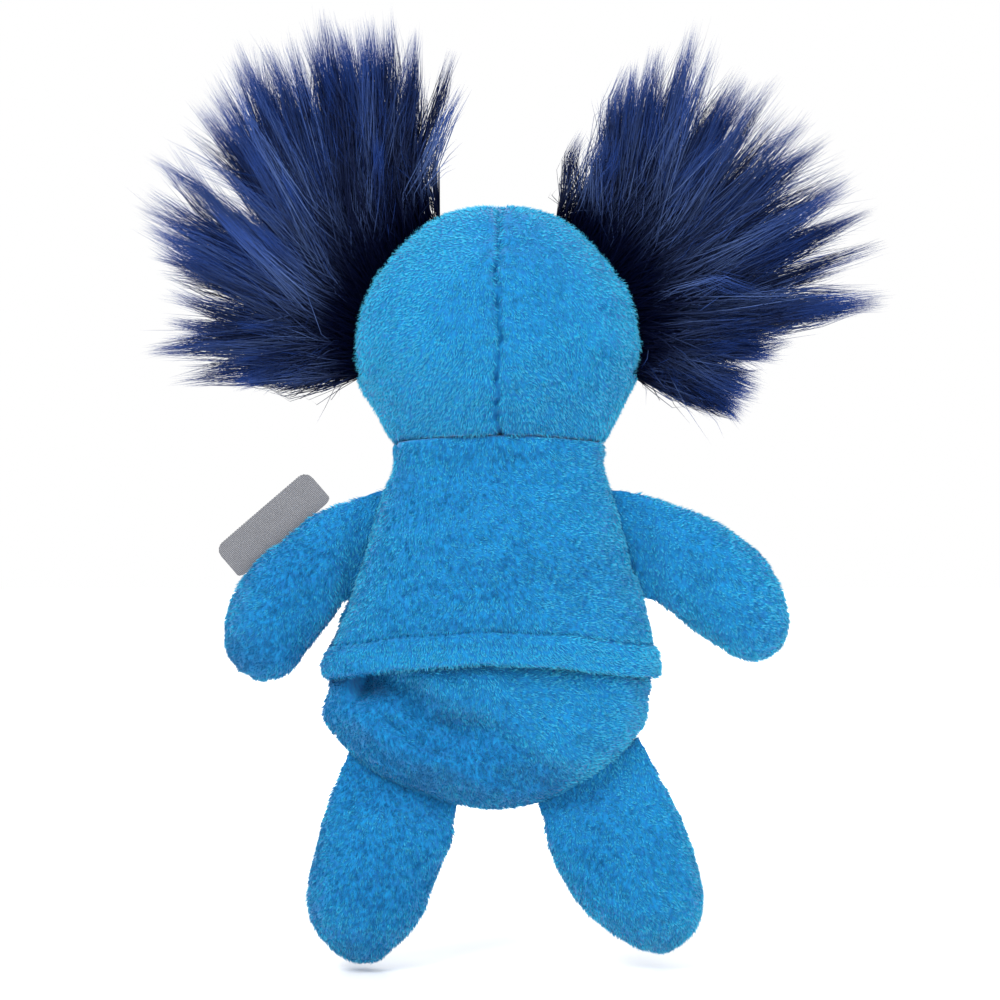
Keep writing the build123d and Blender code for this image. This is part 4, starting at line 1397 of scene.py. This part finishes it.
class PUPPET_OT_limbs(bpy.types.Operator):
    """Build the arms and legs"""

    bl_idname = "puppet.limbs"
    bl_label = "Limbs"

    def execute(self, context):
        for index, limb in enumerate(LIMBS):
            skin = skin_piece(f"{limb}_cloth", limb_skin(limb))
            fur = pile(
                f"{limb}_pile",
                read_mesh(skin),
                bpy.data.materials["plush_pile"],
                nap_of(limb_flow(limb), 24.0, 0.3, 65),
                660 + index,
            )
            for piece in (skin, fur):
                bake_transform(piece)
            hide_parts(*(f"{limb}_{part}" for part in ("front_panel", "back_panel", "stuffing")))
        return {"FINISHED"}


class PUPPET_OT_label(bpy.types.Operator):
    """Build the bare woven label"""

    bl_idname = "puppet.label"
    bl_label = "Label"

    def execute(self, context):
        points, faces = label_skin()
        label = new_piece("label_cloth", points, faces, bpy.data.materials["woven_label"])
        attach(label, "label")
        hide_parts("label")
        return {"FINISHED"}


class PUPPET_OT_nose(bpy.types.Operator):
    """Build the small plush nose"""

    bl_idname = "puppet.nose"
    bl_label = "Nose"

    def execute(self, context):
        corner_low, corner_high = low("nose"), high("nose")
        middle = (corner_low + corner_high) / 2
        middle[1] = corner_high[1] - 0.4
        radii = (corner_high - corner_low) / 2 - 0.6
        radii[1] = corner_high[1] - corner_low[1] - 1.2
        rows, columns = 24, 40
        a = np.linspace(-pi / 2 + 0.05, pi / 2 - 0.05, rows)[:, None]
        b = 2 * pi * np.arange(columns)[None, :] / columns
        ball = np.stack([np.cos(a) * np.cos(b), np.cos(a) * np.sin(b), np.sin(a) + 0 * b], -1)
        points = (middle + ball * radii).reshape(-1, 3)
        points = np.concatenate([points, middle + radii * [[0, 0, -1], [0, 0, 1]]])
        shell = [grid_faces(rows, columns, wrap=True), end_fans(rows, columns)]
        skin = new_piece("nose_cloth", points, shell, bpy.data.materials["nose_backing"])
        fur = pile(
            "nose_pile",
            read_mesh(skin),
            bpy.data.materials["nose_pile"],
            nap_of(head_flow, 10.0, 0.3, 67),
            680,
            keep=lambda p, f: f[:, 1] < 0.3,
            length=0.5,
            density=1.6,
        )
        for piece in (skin, fur):
            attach(piece, "head")
        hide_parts("nose")
        return {"FINISHED"}


class PUPPET_OT_hair(bpy.types.Operator):
    """Build the two tufts of long hair"""

    bl_idname = "puppet.hair"
    bl_label = "Hair"

    def execute(self, context):
        fur = context.scene.puppet_fur
        for index, tuft in enumerate(("hair_left", "hair_right")):
            rng = np.random.default_rng(700 + index)
            control, tone_and_light = tuft_strands(tuft, rng, fur.strands)
            half = fur.strands // 2
            for part, chosen in (("a", slice(0, half)), ("b", slice(half, None))):
                piece = strand_mesh(
                    f"{tuft}_{part}",
                    control[chosen],
                    tone_and_light[chosen],
                    fur.width / MM,
                    bpy.data.materials["long_fur"],
                    rng,
                )
                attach(piece, "head")
                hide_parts(tuft)
        return {"FINISHED"}


class PUPPET_OT_stage(bpy.types.Operator):
    """Set the camera, lamps, sky and floor"""

    bl_idname = "puppet.stage"
    bl_label = "Stage"

    def execute(self, context):
        scene, stage = context.scene, context.scene.puppet_stage
        scene.view_settings.view_transform = "Standard"
        camera = bpy.data.cameras.new("camera")
        camera.lens = stage.lens
        distance = stage.lens / camera.sensor_width * stage.view_width
        view = bpy.data.objects.new("camera", camera)
        view.location = (-0.0008, distance, 0.060)
        view.rotation_euler = (pi / 2, 0, pi)
        scene.collection.objects.link(view)
        scene.camera = view
        lamps = (
            ("key", (0.55, 0.9, 0.95), 0.6, stage.key),
            ("fill", (-0.75, 0.8, 0.35), 0.9, stage.fill),
            ("front", (0.2, -1.1, 0.7), 0.8, 2 * stage.fill),
        )
        for name, place, size, power in lamps:
            lamp = bpy.data.lights.new(name, "AREA")
            lamp.energy, lamp.size = power, size
            item = bpy.data.objects.new(name, lamp)
            item.location = place
            aim = np.array([0, 0, 0.05]) - np.array(place)
            tilt = np.arctan2(np.hypot(aim[0], aim[1]), -aim[2])
            item.rotation_euler = (tilt, 0, np.arctan2(aim[1], aim[0]) - pi / 2)
            scene.collection.objects.link(item)
        world = bpy.data.worlds.new("sky")
        scene.world = world
        world.use_nodes = True
        tree = world.node_tree
        tree.nodes.clear()
        path = add_node(tree, "LightPath")
        seen = path.outputs["Is Camera Ray"]
        for ray in ("Is Glossy Ray", "Is Transmission Ray"):
            either = add_node(tree, "Math", {0: seen, 1: path.outputs[ray]}, operation="MAXIMUM")
            seen = either.outputs[0]
        even = add_node(tree, "Background", {"Color": (1, 1, 1, 1), "Strength": stage.sky})
        white = add_node(tree, "Background", {"Color": (1, 1, 1, 1), "Strength": 1.0})
        both = add_node(tree, "MixShader", {0: seen, 1: even.outputs[0], 2: white.outputs[0]})
        add_node(tree, "OutputWorld", {"Surface": both.outputs[0]})
        reach, floor_z = 4.0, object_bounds()[0][2] - 0.002
        corners = [(-reach, -reach), (reach, -reach), (reach, reach), (-reach, reach)]
        corners = np.array([(x, y, floor_z) for x, y in corners]) / MM
        paint = floor_material("floor_paint")
        floor = new_piece("floor", corners, [np.array([[0, 1, 2, 3]])], paint, smooth=False)
        floor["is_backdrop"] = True
        return {"FINISHED"}


class PUPPET_PT_panel(bpy.types.Panel):
    """The puppet's settings and steps"""

    bl_label = "Mouth puppet"
    bl_idname = "PUPPET_PT_panel"
    bl_space_type = "VIEW_3D"
    bl_region_type = "UI"
    bl_category = "Puppet"

    def draw(self, context):
        for group in ("puppet_plush", "puppet_fur", "puppet_face", "puppet_stage"):
            settings = getattr(context.scene, group)
            box = self.layout.box()
            for name in settings.__annotations__:
                box.prop(settings, name)
        for step in STEPS:
            self.layout.operator(step.bl_idname)


STEPS = (
    PUPPET_OT_materials,
    PUPPET_OT_body,
    PUPPET_OT_limbs,
    PUPPET_OT_label,
    PUPPET_OT_head,
    PUPPET_OT_jaw,
    PUPPET_OT_nose,
    PUPPET_OT_hair,
    PUPPET_OT_stage,
)
GROUPS = {
    "puppet_plush": PlushSettings,
    "puppet_fur": FurSettings,
    "puppet_face": FaceSettings,
    "puppet_stage": StageSettings,
}


def register():
    """Adds the settings, the steps and the panel."""
    for name, group in GROUPS.items():
        bpy.utils.register_class(group)
        setattr(bpy.types.Scene, name, PointerProperty(type=group))
    for step in (*STEPS, PUPPET_PT_panel):
        bpy.utils.register_class(step)


def unregister():
    """Removes them again."""
    for step in (PUPPET_PT_panel, *reversed(STEPS)):
        bpy.utils.unregister_class(step)
    for name, group in GROUPS.items():
        delattr(bpy.types.Scene, name)
        bpy.utils.unregister_class(group)


def main():
    """Builds the puppet step by step."""
    register()
    for step in STEPS:
        group, name = step.bl_idname.split(".")
        getattr(getattr(bpy.ops, group), name)()
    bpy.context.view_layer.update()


if __name__ == "__main__":
    main()
